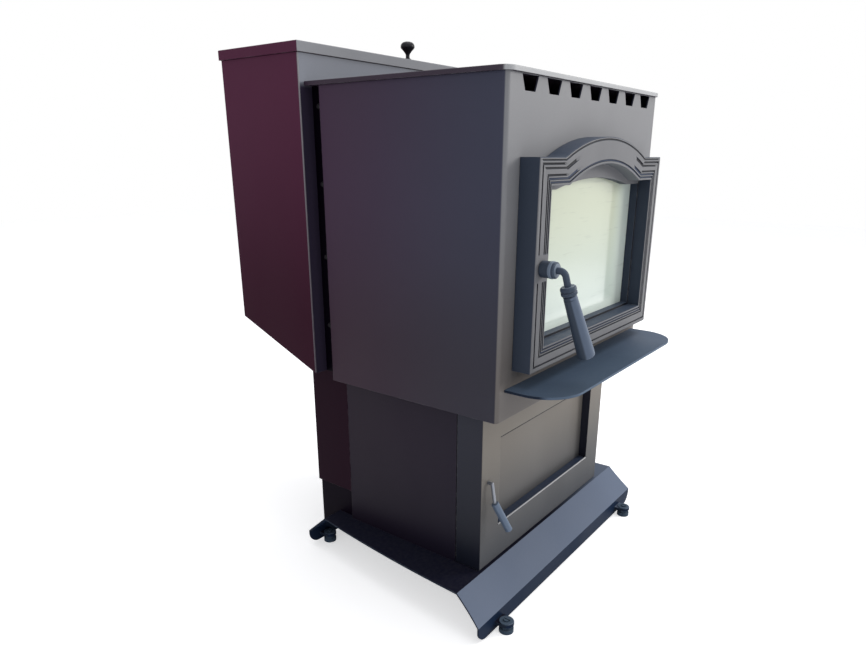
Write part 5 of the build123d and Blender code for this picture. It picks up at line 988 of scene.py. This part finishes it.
@dataclass
class LoadingDoor:
    """Arched casting with a moulded face, its glass, bars, seal and hinge knuckles."""

    shop: Workshop
    outer: ArchedOutline = ArchedOutline(224.0, 448.5, 754.7, 138.0, 30.3)
    window: ArchedOutline = ArchedOutline(187.0, 484.0, 716.0, 120.0, 29.0)
    inner: ArchedOutline = ArchedOutline(183.0, 488.0, 709.0, 120.0, 14.0)
    pocket: ArchedOutline = ArchedOutline(190.3, 480.7, 729.3, 120.0, 0.2)
    rear_ring: ArchedOutline = ArchedOutline(196.8, 474.2, 735.8, 138.0, 0.2)
    front_y: float = -32.5
    step_y: float = -10.0
    back_y: float = -0.5
    glass_y: float = 4.0
    ring_y: float = 12.0
    lean: float = 0.006  # share of the way that each wall of a cut leans over
    face: Pair = (0.03, 0.98)  # shares of the way where the flat face starts and ends
    eased: Pair = (1.0, 0.8)
    # Cuts with a groove coat paint shade into their grooves.
    cuts: tuple[Cut, ...] = (
        Cut(0.07, OVER_THE_TOP, Coat.SHADED_GROOVE, 1.2),
        Cut(0.125),
        Cut(0.195, FRAME_ONLY, Coat.SHADED_GROOVE),
        Cut(0.265),
        Cut(0.315, SLOPE_ONLY, Coat.SHADED_GROOVE),
        Cut(0.345, UP_THE_SLOPE, Coat.SHADED_GROOVE),
        Cut(0.41, SLOPE_ONLY, Coat.SHADED_GROOVE),
        Cut(0.435),
        Cut(0.59, FRAME_ONLY, Coat.SHADED_GROOVE),
        Cut(0.655),
        Cut(0.68, SLOPE_ONLY, Coat.SHADED_BLUE_GROOVE),
        Cut(0.715, UP_THE_SLOPE | {Zone.JAMB}, Coat.SHADED_BLUE_GROOVE),
        Cut(0.785),
        Cut(0.845, ALL_ROUND, Coat.SHADED_BLUE_GROOVE),
        Cut(0.91),
    )
    hinge_x: float = 234.5
    hinge_y: float = -14.0
    knuckles: Pair = (512.0, 690.0)
    knuckle_r: float = 7.5
    knuckle_h: float = 26.0
    pin_r: float = 4.05
    leaf: float = 10.0
    sunk: float = 1.0  # how far a knuckle's leaf runs into the casting and into the knuckle

    def stations(self) -> list[Station]:
        """Lists the outlines of the casting, from its rear edge over its face and back inside.

        Returns:
            The stations in order, each with the coat of the faces before it.
        """
        face = self.front_y
        rows = [Station(self.outer, self.back_y), Station(self.outer, face + self.eased[0])]
        rows.append(Station(self.outer.towards(self.window, self.face[0]), face))
        last = PLAIN
        for cut in self.cuts:
            near, far = (self.outer.towards(self.window, cut.start + side * self.lean) for side in (-1, 1))
            rows.append(Station(near, face, last, last.coat, last.zones))
            rows.append(Station(far, face, cut, cut.coat or last.coat, last.zones | cut.zones))
            last = cut
        rows.append(Station(self.outer.towards(self.window, self.face[1]), face))
        rows.append(Station(self.window, face + self.eased[1]))
        # Painted light on the arch's soffit, and painted shade on the step of the jambs and the pad.
        rows.append(Station(self.window, self.step_y, PLAIN, Coat.LIT_SOFFIT, OVER_THE_TOP - {Zone.SHOULDER}))
        rows.append(Station(self.inner, self.step_y, PLAIN, Coat.SHADED_GROOVE, frozenset((Zone.JAMB, Zone.PAD))))
        inside = (
            (self.inner, self.glass_y),
            (self.pocket, self.glass_y),
            (self.pocket, self.ring_y),
            (self.rear_ring, self.ring_y),
            (self.rear_ring, self.back_y),
        )
        return rows + [Station(outline, y) for outline, y in inside]

    def casting(self) -> None:
        """Builds the moulded frame with its knuckles."""
        shape = bmesh.new()
        rows = self.stations()
        run = [shape.verts.new(point) for point in rows[0].points()]
        edges = [shape.edges.new(pair) for pair in zip(run, run[1:] + run[:1])]
        for station in rows[1:] + rows[:1]:
            made = bmesh.ops.extrude_edge_only(shape, edges=edges)["geom"]
            fresh = {item for item in made if isinstance(item, BMVert)}
            run = [next(e.other_vert(v) for e in v.link_edges if e.other_vert(v) in fresh) for v in run]
            for vert, point in zip(run, station.points()):
                vert.co = point
            edges = [shape.edges.get(pair) for pair in zip(run, run[1:] + run[:1])]
            for index, edge in enumerate(edges):
                edge.link_faces[0].material_index = station.coat_of(index, len(edges))
        inner, outer, top = self.pin_r, self.knuckle_r, self.knuckle_h
        tube = [(inner, 0.0), (outer, 0.0), (outer, top), (inner, top), (inner, 0.0)]
        for z in self.knuckles:
            turned(shape, tube, (self.hinge_x, self.hinge_y, z), (self.hinge_x, self.hinge_y, z + 1.0))
            low = (self.outer.half - self.sunk, self.hinge_y - self.leaf / 2, z)
            bar(shape, low, (self.hinge_x - inner - self.sunk, self.hinge_y + self.leaf / 2, z + top))
        name, coats = "loading_door_casting", (DOOR_CASTING, SHADED_GROOVE, SHADED_BLUE_GROOVE, LIT_ARCH_SOFFIT)  # in the order of Coat
        made = self.shop.piece(shape, name, Body.LOADING_DOOR, "door_casting", coats, ["loading_door_frame"])
        soften(made, 0.5)

    def build(self) -> None:
        """Builds the casting and its seal, and dresses the glass and its bars."""
        self.casting()
        RopeSeal(self.shop, "door_gasket", "door_rope", Body.LOADING_DOOR, upright=True).build()
        self.shop.dress(WINDOW_GLASS, "door_glass")
        self.shop.dress(HEAT_STEEL, "glass_retainers", "door_hinge_brackets")


@dataclass
class DoorHandle:
    """Hub, bent rod with a collar, and tapered grip of the loading door."""

    shop: Workshop
    hub: Point = (-205.0, -57.0, 603.0)
    hub_r: float = 12.15
    ring_h: float = 10.3
    ring_deep: float = 10.0
    sleeve_gap: float = 0.4
    face_y: float = -32.5
    elbow: Point = (-205.0, -69.0, 603.0)
    collar_end: Point = (-197.0, -74.5, 569.0)
    grip_end: Point = (-159.0, -90.0, 473.0)
    rod_r: float = 5.0
    bend: float = 9.0
    collar_r: float = 12.0
    collar_length: float = 13.0
    sunk: float = 0.5
    gap: float = 0.1
    grip_r: Pair = (10.0, 13.5)
    # Profiles: steps away from the radius, and heights from the foot or, at a tip, from the far end.
    collar_shape: Profile = ((-2.2, 0.0), (-0.6, 1.4), (0.0, 3.0), (0.0, 5.4), (-1.6, 6.0), (-1.6, 7.4), (0.0, 8.0))
    collar_tip: Profile = ((0.0, -1.2), (-1.2, 0.0))
    sleeve_shape: Profile = ((-2.0, 0.0), (-0.6, 0.0), (0.0, 0.8), (0.0, 13.6), (-0.7, 14.2), (-2.0, 14.2))
    ring_shape: Profile = ((-0.2, 0.0), (0.5, 0.8), (0.5, 4.4), (-0.4, 5.6), (-0.8, 9.2), (-2.6, 10.2))
    grip_shape: Profile = ((-0.8, 0.1), (0.0, 1.0), (0.0, 3.5), (-0.5, 4.2), (-0.4, 5.4), (0.2, 6.2))
    grip_tip: Profile = ((-0.1, -6.0), (0.0, -3.0), (-0.5, -1.2), (-1.8, -0.2), (-4.0, 0.0))

    def rod(self) -> None:
        """Builds the bent rod and its grooved collar."""
        shape = bmesh.new()
        bent_rod(shape, self.hub, self.elbow, self.collar_end, self.rod_r, self.bend)
        along = (Vector(self.collar_end) - Vector(self.elbow)).normalized()
        foot = Vector(self.collar_end) - along * self.collar_length
        bore, length = self.rod_r - self.sunk, self.collar_length - self.gap
        collar = swollen(self.collar_r, self.collar_shape) + swollen(self.collar_r, self.collar_tip, length)
        turned(shape, [(bore, 0.0), *collar, (bore, length)], tuple(foot), self.collar_end)
        self.shop.piece(shape, "handle_rod", Body.DOOR_HANDLE, "grip_resin", [ROD_RESIN], ["door_handle_rod"])

    def sleeve(self) -> None:
        """Builds the smooth sleeve over the hub and the ring at its front."""
        shape = bmesh.new()
        (x, front, z), back = self.hub, self.face_y - self.sleeve_gap
        turned(shape, swollen(self.hub_r, self.sleeve_shape), (x, back, z), (x, back - 1.0, z))
        self.shop.piece(shape, "hub_sleeve", Body.DOOR_HANDLE, "grip_resin", [SLEEVE_RESIN])
        shape = bmesh.new()
        ring = [(0.0, 0.0), *swollen(self.hub_r, self.ring_shape), (0.0, self.ring_h)]
        turned(shape, ring, (x, front + self.ring_deep, z), (x, front, z))
        self.shop.piece(shape, "hub_ring", Body.DOOR_HANDLE, "grip_resin", [HUB_RING])

    def grip(self) -> None:
        """Builds the tapered grip with its rounded end."""
        shape = bmesh.new()
        length = (Vector(self.grip_end) - Vector(self.collar_end)).length
        top, end = self.grip_r
        resin = swollen(top, self.grip_shape) + swollen(end, self.grip_tip, length)
        turned(shape, [(0.0, self.gap), *resin, (0.0, length)], self.collar_end, self.grip_end, steps=48)
        self.shop.piece(shape, "handle_grip", Body.DOOR_HANDLE, "grip_resin", [GRIP_RESIN], ["door_handle_grip"])

    def build(self) -> None:
        """Builds the rod, the sleeve and the grip, and dresses the hub with its shaft."""
        self.rod()
        self.sleeve()
        self.grip()
        self.shop.dress(ROD_RESIN, "door_latch_shaft")


@dataclass
class RopeSeal:
    """Twisted glass-fibre rope laid round a rectangle, in the space of its node."""

    shop: Workshop
    node: str
    name: str
    body: Body
    upright: bool
    width: float = 6.0
    corner: float = 12.0
    pitch: float = 24.0
    strands: int = 3
    strand_share: float = 0.27
    points_per_turn: int = 9

    def path(self, half_a: float, half_b: float, along: float) -> tuple[Vector, Vector]:
        """Follows a rectangle with round corners.

        Args:
            half_a: half of its width.
            half_b: half of its height.
            along: distance from the middle of the right side.

        Returns:
            The point and the outward direction there.
        """
        radius = self.corner
        runs = [2 * (half_b - radius), 2 * (half_a - radius)] * 2
        quarter = math.pi * radius / 2
        rest = along
        for turn, run in enumerate(runs):
            middle = Vector((half_a, 0.0)) if turn % 2 == 0 else Vector((half_b, 0.0))
            swing = Matrix.Rotation(turn * math.pi / 2, 2)
            if rest <= run:
                return swing @ (middle + Vector((0.0, rest - run / 2))), swing @ Vector((1.0, 0.0))
            rest -= run
            if rest <= quarter:
                outward = Vector((math.cos(rest / radius), math.sin(rest / radius)))
                hub = Vector((middle.x - radius, run / 2))
                return swing @ (hub + outward * radius), swing @ outward
            rest -= quarter
        return Vector((half_a, radius - half_b)), Vector((1.0, 0.0))

    def build(self) -> None:
        """Lays the strands and joins them into one piece."""
        low, high = (corner * 1000 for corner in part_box(self.node))
        middle, size = (low + high) / 2, high - low
        thick = size.y if self.upright else size.z
        half_a = size.x / 2 - self.width / 2
        half_b = (size.z if self.upright else size.y) / 2 - self.width / 2
        length = 4 * (half_a + half_b) - 8 * self.corner + math.tau * self.corner
        strand_r = min(thick, self.width) * self.strand_share
        reach, lift = self.width / 2 - strand_r, thick / 2 - strand_r
        turns = round(length / self.pitch)
        line = bpy.data.curves.new(self.name, "CURVE")
        line.dimensions, line.bevel_depth, line.bevel_resolution = "3D", strand_r / 1000, 1
        count = turns * self.points_per_turn
        for strand in range(self.strands):
            spline = line.splines.new("POLY")
            spline.points.add(count - 1)
            spline.use_cyclic_u = True
            for step, point in enumerate(spline.points):
                place, outward = self.path(half_a, half_b, length * step / count)
                angle = math.tau * (turns * step / count + strand / self.strands)
                flat = place + outward * reach * math.cos(angle)
                up = lift * math.sin(angle)
                offset = Vector((flat.x, up, flat.y)) if self.upright else Vector((flat.x, flat.y, up))
                point.co = (*((middle + offset) / 1000), 1.0)
        holder = bpy.data.objects.new(self.name + "_line", line)
        mesh = bpy.data.meshes.new_from_object(holder)
        bpy.data.objects.remove(holder)
        for face in mesh.polygons:
            face.use_smooth = True
        mesh.name = self.name
        mesh.materials.clear()
        self.shop.piece(mesh, self.name, self.body, "rope_seal", [ROPE_SEAL], [self.node])


# ---- other sub-assemblies ----
@dataclass
class Base:
    """Pressed base sheet, its feet and the plinth under the blowers."""

    shop: Workshop
    feet: tuple[str, ...] = ("front_left", "front_right", "rear_left", "rear_right")
    ear_z: float = 18.8
    washer_r: Pair = (5.6, 12.4)
    washer_h: float = 1.8
    washer_edge: float = 0.5

    def washers(self) -> None:
        """Builds the round washer that lies on the ear of each foot."""
        shape = bmesh.new()
        (hole, rim), height, edge = self.washer_r, self.washer_h, self.washer_edge
        upper = [(rim, height - edge), (rim - edge, height), (hole, height), (hole, 0.0)]
        for foot in self.feet:
            low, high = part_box(f"levelling_foot_{foot}")
            x, y, _ = MILLIMETRES.inverted() @ ((low + high) / 2)
            turned(shape, [(hole, 0.0), (rim, 0.0), *upper], (x, y, self.ear_z), (x, y, self.ear_z + 1.0), steps=32)
        self.shop.piece(shape, "foot_washers", Body.STOVE, "base_paint", [FOOT_PAINT])

    def build(self) -> None:
        """Builds the washers and dresses the base, the plinth and the feet."""
        self.washers()
        self.shop.dress(BASE_PAINT, "base_plate")
        self.shop.dress(PLINTH_PAINT, "blower_plinth")
        self.shop.dress(FOOT_PAINT, *(f"levelling_foot_{foot}" for foot in self.feet))


@dataclass
class Casing:
    """Painted casing with its top plate, pedestal, shelf and rear cover."""

    shop: Workshop

    def build(self) -> None:
        """Dresses the sheets and their screws."""
        self.shop.dress(CASING_PAINT, "casing")
        self.shop.dress(TOP_PLATE_PAINT, "top_plate")
        self.shop.dress(PEDESTAL_PAINT, "pedestal_shell")
        self.shop.dress(SHELF_PAINT, "front_shelf")
        self.shop.dress(REAR_PAINT, "rear_cover")
        # Painted shade in the gap under the hopper.
        self.shop.dress(NECK_SHADE_PAINT, "hopper_mount")
        self.shop.dress(BLACK_SHEET, "casing_screws")


@dataclass
class AshDoor:
    """Ash door with its panel, seal, latch and hinges, and the pan behind it."""

    shop: Workshop
    front_y: float = 45.3
    recess_half: float = 174.0
    recess_z: Pair = (146.0, 312.0)
    bead_r: float = 1.4
    bead_gap: float = 0.5
    bead_seat: Pair = (0.3, 0.2)  # shares of its radius behind the face and below the edge
    bead_end: Pair = (0.8, 0.6)  # share of its radius at its ends, and how far the rounding runs
    # Size of the dark painted shadow strip under the recess's top rail.
    shadow_height: float = 1.7
    shadow_depth: float = 1.6
    shadow_gap: Pair = (0.2, 0.1)  # short of the recess's side, and off its rail and its face

    def bead(self) -> None:
        """Builds the rolled bead along the lower edge of the recess, coated pale as a painted highlight line."""
        shape = bmesh.new()
        radius, half = self.bead_r, self.recess_half - self.bead_gap
        (deep, down), (tip, edge), length = self.bead_seat, self.bead_end, 2 * half
        y, z = self.front_y + radius * deep, self.recess_z[0] - radius * down
        bead = [(radius * tip, 0.0), (radius, edge), (radius, length - edge), (radius * tip, length)]
        turned(shape, [(0.0, 0.0), *bead, (0.0, length)], (-half, y, z), (half, y, z), steps=16)
        self.shop.piece(shape, "recess_bead", Body.ASH_DOOR, "casing_paint", [BEAD_HIGHLIGHT_PAINT])

    def painted_shadow_strip(self) -> None:
        """Builds a dark strip under the top rail of the recess: a painted shadow line."""
        shape = bmesh.new()
        short, off = self.shadow_gap
        half, top = self.recess_half - short, self.recess_z[1] - off
        bar(shape, (-half, self.front_y + off, top - self.shadow_height), (half, self.front_y + self.shadow_depth, top))
        made = self.shop.piece(shape, "recess_painted_shadow_strip", Body.ASH_DOOR, "black_sheet", [BLACK_SHEET])
        soften(made, 0.3)

    def build(self) -> None:
        """Builds the bead, the painted shadow strip and the seal, and dresses the rest."""
        self.bead()
        self.painted_shadow_strip()
        self.shop.dress(ASH_DOOR_PAINT, "ash_door_frame", "ash_door_panel")
        RopeSeal(self.shop, "ash_door_gasket", "ash_door_rope", Body.ASH_DOOR, upright=True, width=8.0).build()
        self.shop.dress(LATCH_WIRE, "ash_latch_rod")
        self.shop.dress(ZINC_STEEL, "ash_pan_bail")
        self.shop.dress(ASH_GRIP_RESIN, "ash_handle_grip")
        self.shop.dress(HEAT_STEEL, "ash_hinge_brackets")
        self.shop.dress(BLACK_SHEET, "ash_pan")


@dataclass
class Hopper:
    """Pellet hopper with its side covers, bin, lid and knob."""

    shop: Workshop
    knob_x: float = 2.0
    knob_y: float = 384.3
    lid_z: float = 924.0
    knob_top: float = 955.0
    knob_r: float = 13.0
    stem_r: float = 3.6
    stem_shape: Profile = ((3.6, 0.0), (3.2, 1.2), (1.0, 2.4), (0.0, 4.0), (0.0, 8.5), (1.2, 11.0))
    cap_shape: Profile = (  # shares of the knob's radius, and heights
        (0.6, 15.0), (0.88, 18.6), (0.98, 20.4), (1.0, 22.0), (0.98, 24.4), (0.88, 27.2), (0.68, 29.3), (0.36, 30.6)
    )
    half: float = 277.0
    front_y: float = 375.3
    hem: float = 2.0
    hem_edge: float = 0.5
    hem_out: float = 0.1
    hem_ahead: float = 0.15
    hem_z: Pair = (386.0, 907.0)

    def knob(self) -> None:
        """Builds the mushroom knob."""
        shape = bmesh.new()
        cap = [(self.knob_r * share, height) for share, height in self.cap_shape]
        profile = [(0.0, 0.0), *swollen(self.stem_r, self.stem_shape), *cap, (0.0, self.knob_top - self.lid_z)]
        x, y = self.knob_x, self.knob_y
        turned(shape, profile, (x, y, self.lid_z), (x, y, self.knob_top), steps=56)
        self.shop.piece(shape, "mushroom_knob", Body.HOPPER_LID, "knob_resin", [KNOB_RESIN], ["lid_knob"])

    def hems(self) -> None:
        """Builds the folded hem along the front edge of each side cover, coated pale as a painted highlight."""
        shape = bmesh.new()
        for side in (-1, 1):
            x = side * (self.half - self.hem / 2 + self.hem_out)
            low = (x - self.hem / 2, self.front_y - self.hem_ahead, self.hem_z[0])
            bar(shape, low, (x + self.hem / 2, self.front_y + self.hem, self.hem_z[1]))
        edges = [edge for edge in shape.edges if abs(edge.verts[0].co.z - edge.verts[1].co.z) > 1]
        bmesh.ops.bevel(
            shape, geom=edges, offset=self.hem_edge, affect="EDGES", segments=2, profile=0.5, material=-1
        )
        self.shop.piece(shape, "cover_hems", Body.STOVE, "hopper_paint", [HEM_HIGHLIGHT_PAINT])

    def build(self) -> None:
        """Builds the knob, the hems and the seal, and dresses the sheets."""
        self.knob()
        self.hems()
        RopeSeal(self.shop, "lid_gasket", "lid_rope", Body.HOPPER_LID, upright=False).build()
        self.shop.dress(HOPPER_PAINT, "hopper_side_left", "hopper_side_right")
        self.shop.dress(SHELL_PAINT, "hopper_shell")
        self.shop.dress(LID_PAINT, "hopper_lid")
        self.shop.dress(BLACK_SHEET, "hopper_bin")
        self.shop.dress(ZINC_STEEL, "lid_hinge_pins")


@dataclass
class Inside:
    """Firebox, feed and blowers."""

    shop: Workshop

    def build(self) -> None:
        """Dresses what the sheets cover."""
        self.shop.dress(HEAT_STEEL, "firebox", "heat_exchanger_tubes", "feed_tube")
        self.shop.dress(DARK_CASTING, "burn_pot", "burn_pot_cover", "flame_guide")
        self.shop.dress(ZINC_STEEL, "igniter", "feed_auger", "flue_spigot", "air_inlet_pipe", "air_inlet_flap")
        self.shop.dress(ZINC_STEEL, "exhaust_fan", "room_air_fan")
        self.shop.dress(BLACK_SHEET, "exhaust_blower_housing", "room_air_housing")
        self.shop.dress(MOTOR_ENAMEL, "feed_gear_motor", "exhaust_motor", "room_air_motor")


@dataclass
class ControlPanel:
    """Panel on the right side with two dials and a rocker switch."""

    shop: Workshop
    face_x: float = 280.0
    middle_y: float = 475.0
    dials: Pair = (762.0, 708.0)
    ring: float = 23.5
    marks: int = 11
    sweep: float = 150.0
    raised: float = 0.5
    long_mark: Pair = (1.1, 4.0)  # width and length
    short_mark: Pair = (0.7, 2.4)

    def dial_marks(self) -> None:
        """Builds the raised marks round each dial, longer at the ends and the middle."""
        shape = bmesh.new()
        for z in self.dials:
            for mark in range(self.marks):
                angle = math.radians(self.sweep * (2 * mark / (self.marks - 1) - 1))
                long = mark in (0, self.marks // 2, self.marks - 1)
                size = Matrix.Diagonal((self.raised, *(self.long_mark if long else self.short_mark), 1.0))
                middle = Matrix.Translation((self.face_x + self.raised / 2, self.middle_y, z))
                place = middle @ Matrix.Rotation(angle, 4, "X") @ Matrix.Translation((0, 0, self.ring))
                bmesh.ops.create_cube(shape, size=1.0, matrix=place @ size)
        self.shop.piece(shape, "dial_marks", Body.STOVE, "panel_plastic", [DIAL_MARK])

    def build(self) -> None:
        """Builds the marks and dresses the panel."""
        self.dial_marks()
        self.shop.dress(PANEL_PLASTIC, "control_panel", "feed_dial", "temperature_dial", "mode_switch", "power_inlet")


# ---- studio ----
@dataclass(frozen=True)
class Lamp:
    """Square soft lamp, its place and the length of its side in metres, its power in watts."""

    name: str
    at: Point
    size: float
    watts: float
    tint: Colour = WHITE

    def hang(self, aim: Point) -> None:
        """Hangs the lamp.

        Args:
            aim: the point that it faces.
        """
        data = bpy.data.lights.new(self.name, "AREA")
        data.size, data.energy, data.color = self.size, self.watts, linear(self.tint)[:3]
        made = shown(self.name, data)
        made.location = self.at
        made.rotation_mode = "QUATERNION"
        made.rotation_quaternion = (Vector(aim) - Vector(self.at)).to_track_quat("-Z", "Y")


@dataclass
class Studio:
    """Camera, pale floor and soft lamps."""

    camera_at: Point = (-1.0624, -0.7543, 0.7559)
    azimuth: float = -52.94
    down: float = 18.81
    roll: float = 0.22
    lens: float = 28.0
    shift: Pair = (-0.00896, 0.06933)
    sensor: float = 36.0
    seen_range: Pair = (0.05, 50.0)
    middle: Point = (0.0, 0.0, 0.45)
    floor_size: float = 8.0
    floor_tones: tuple[Colour, Colour] = ((236, 237, 240), (214, 216, 222))
    floor_grain: float = 3.0
    floor_speckle: float = 0.04
    floor_rough: float = 0.9
    floor_specular: float = 0.1
    floor_glow: float = 0.55
    sky_light: float = 0.5
    lamps: tuple[Lamp, ...] = (
        Lamp("right_lamp", (2.7, -2.5, 1.9), 1.3, 74.0, (255, 252, 248)),
        Lamp("top_lamp", (0.2, -0.4, 3.2), 2.4, 40.0),
        Lamp("left_lamp", (-3.2, -0.6, 1.6), 2.4, 12.0, (246, 248, 255)),
    )

    def camera(self) -> None:
        """Sets up the camera at the viewing angle."""
        azimuth, down, roll = (math.radians(angle) for angle in (self.azimuth, self.down, self.roll))
        ahead = Vector((-math.sin(azimuth) * math.cos(down), math.cos(azimuth) * math.cos(down), -math.sin(down)))
        right = Vector((math.cos(azimuth), math.sin(azimuth), 0.0))
        above = right.cross(ahead)
        turned_right = right * math.cos(roll) + above * math.sin(roll)
        turned_up = above * math.cos(roll) - right * math.sin(roll)
        stand = Matrix((turned_right, turned_up, -ahead)).transposed().to_4x4()
        data = bpy.data.cameras.new("camera")
        data.lens, data.sensor_width = self.lens, self.sensor
        data.shift_x, data.shift_y = self.shift
        data.clip_start, data.clip_end = self.seen_range
        made = shown("camera", data)
        made.matrix_world = Matrix.Translation(self.camera_at) @ stand
        bpy.context.scene.camera = made

    def floor(self) -> None:
        """Lays a pale floor that shows white to the camera and keeps the stove's shadow."""
        shape = bmesh.new()
        bmesh.ops.create_grid(shape, x_segments=1, y_segments=1, size=self.floor_size)
        mesh = bpy.data.meshes.new("floor")
        shape.to_mesh(mesh)
        shape.free()
        made = shown("floor", mesh)
        paper, board, shader = blank("floor_paper")
        grain = board.spread(board.noise(self.floor_grain, 3.0), *CLOUDS, 0.0, self.floor_speckle)
        board.fill(
            shader,
            {
                "Base Color": board.mix(grain, *(linear(tone) for tone in self.floor_tones)),
                "Roughness": self.floor_rough,
                "Specular IOR Level": self.floor_specular,
                "Emission Color": linear(WHITE),
                "Emission Strength": board.math("MULTIPLY", self.seen(board), self.floor_glow),
            },
        )
        mesh.materials.append(paper)

    def seen(self, board: Board) -> NodeSocket:
        """Tells rays from the camera, from gloss and through glass.

        Args:
            board: the board of the material or the world.

        Returns:
            A socket that is 1 for those rays.
        """
        path = board.node("LightPath")
        first = board.math("MAXIMUM", path.outputs["Is Camera Ray"], path.outputs["Is Glossy Ray"])
        return board.math("MAXIMUM", first, path.outputs["Is Transmission Ray"])

    def sky(self) -> None:
        """Makes the surroundings white to look at and softer as light."""
        world = bpy.data.worlds.new("surroundings")
        world.use_nodes = True
        board = Board(world.node_tree)
        light = board.spread(self.seen(board), 0.0, 1.0, self.sky_light, 1.0)
        board.fill(board.tree.nodes["Background"], {"Color": linear(WHITE), "Strength": light})
        bpy.context.scene.world = world

    def build(self) -> None:
        """Sets up the whole studio."""
        bpy.context.scene.view_settings.view_transform = "Standard"
        self.camera()
        self.floor()
        self.sky()
        for lamp in self.lamps:
            lamp.hang(self.middle)


def main() -> None:
    """Builds the stove's pieces in order and the studio round them."""
    logging.basicConfig(level=logging.INFO, format="%(name)s %(message)s")
    shop = Workshop()
    Studio().build()
    for part in (Base, Casing, LoadingDoor, DoorHandle, AshDoor, Hopper, Inside, ControlPanel):
        part(shop).build()
        log.info("%s done", part.__name__)


if __name__ == "__main__":
    main()
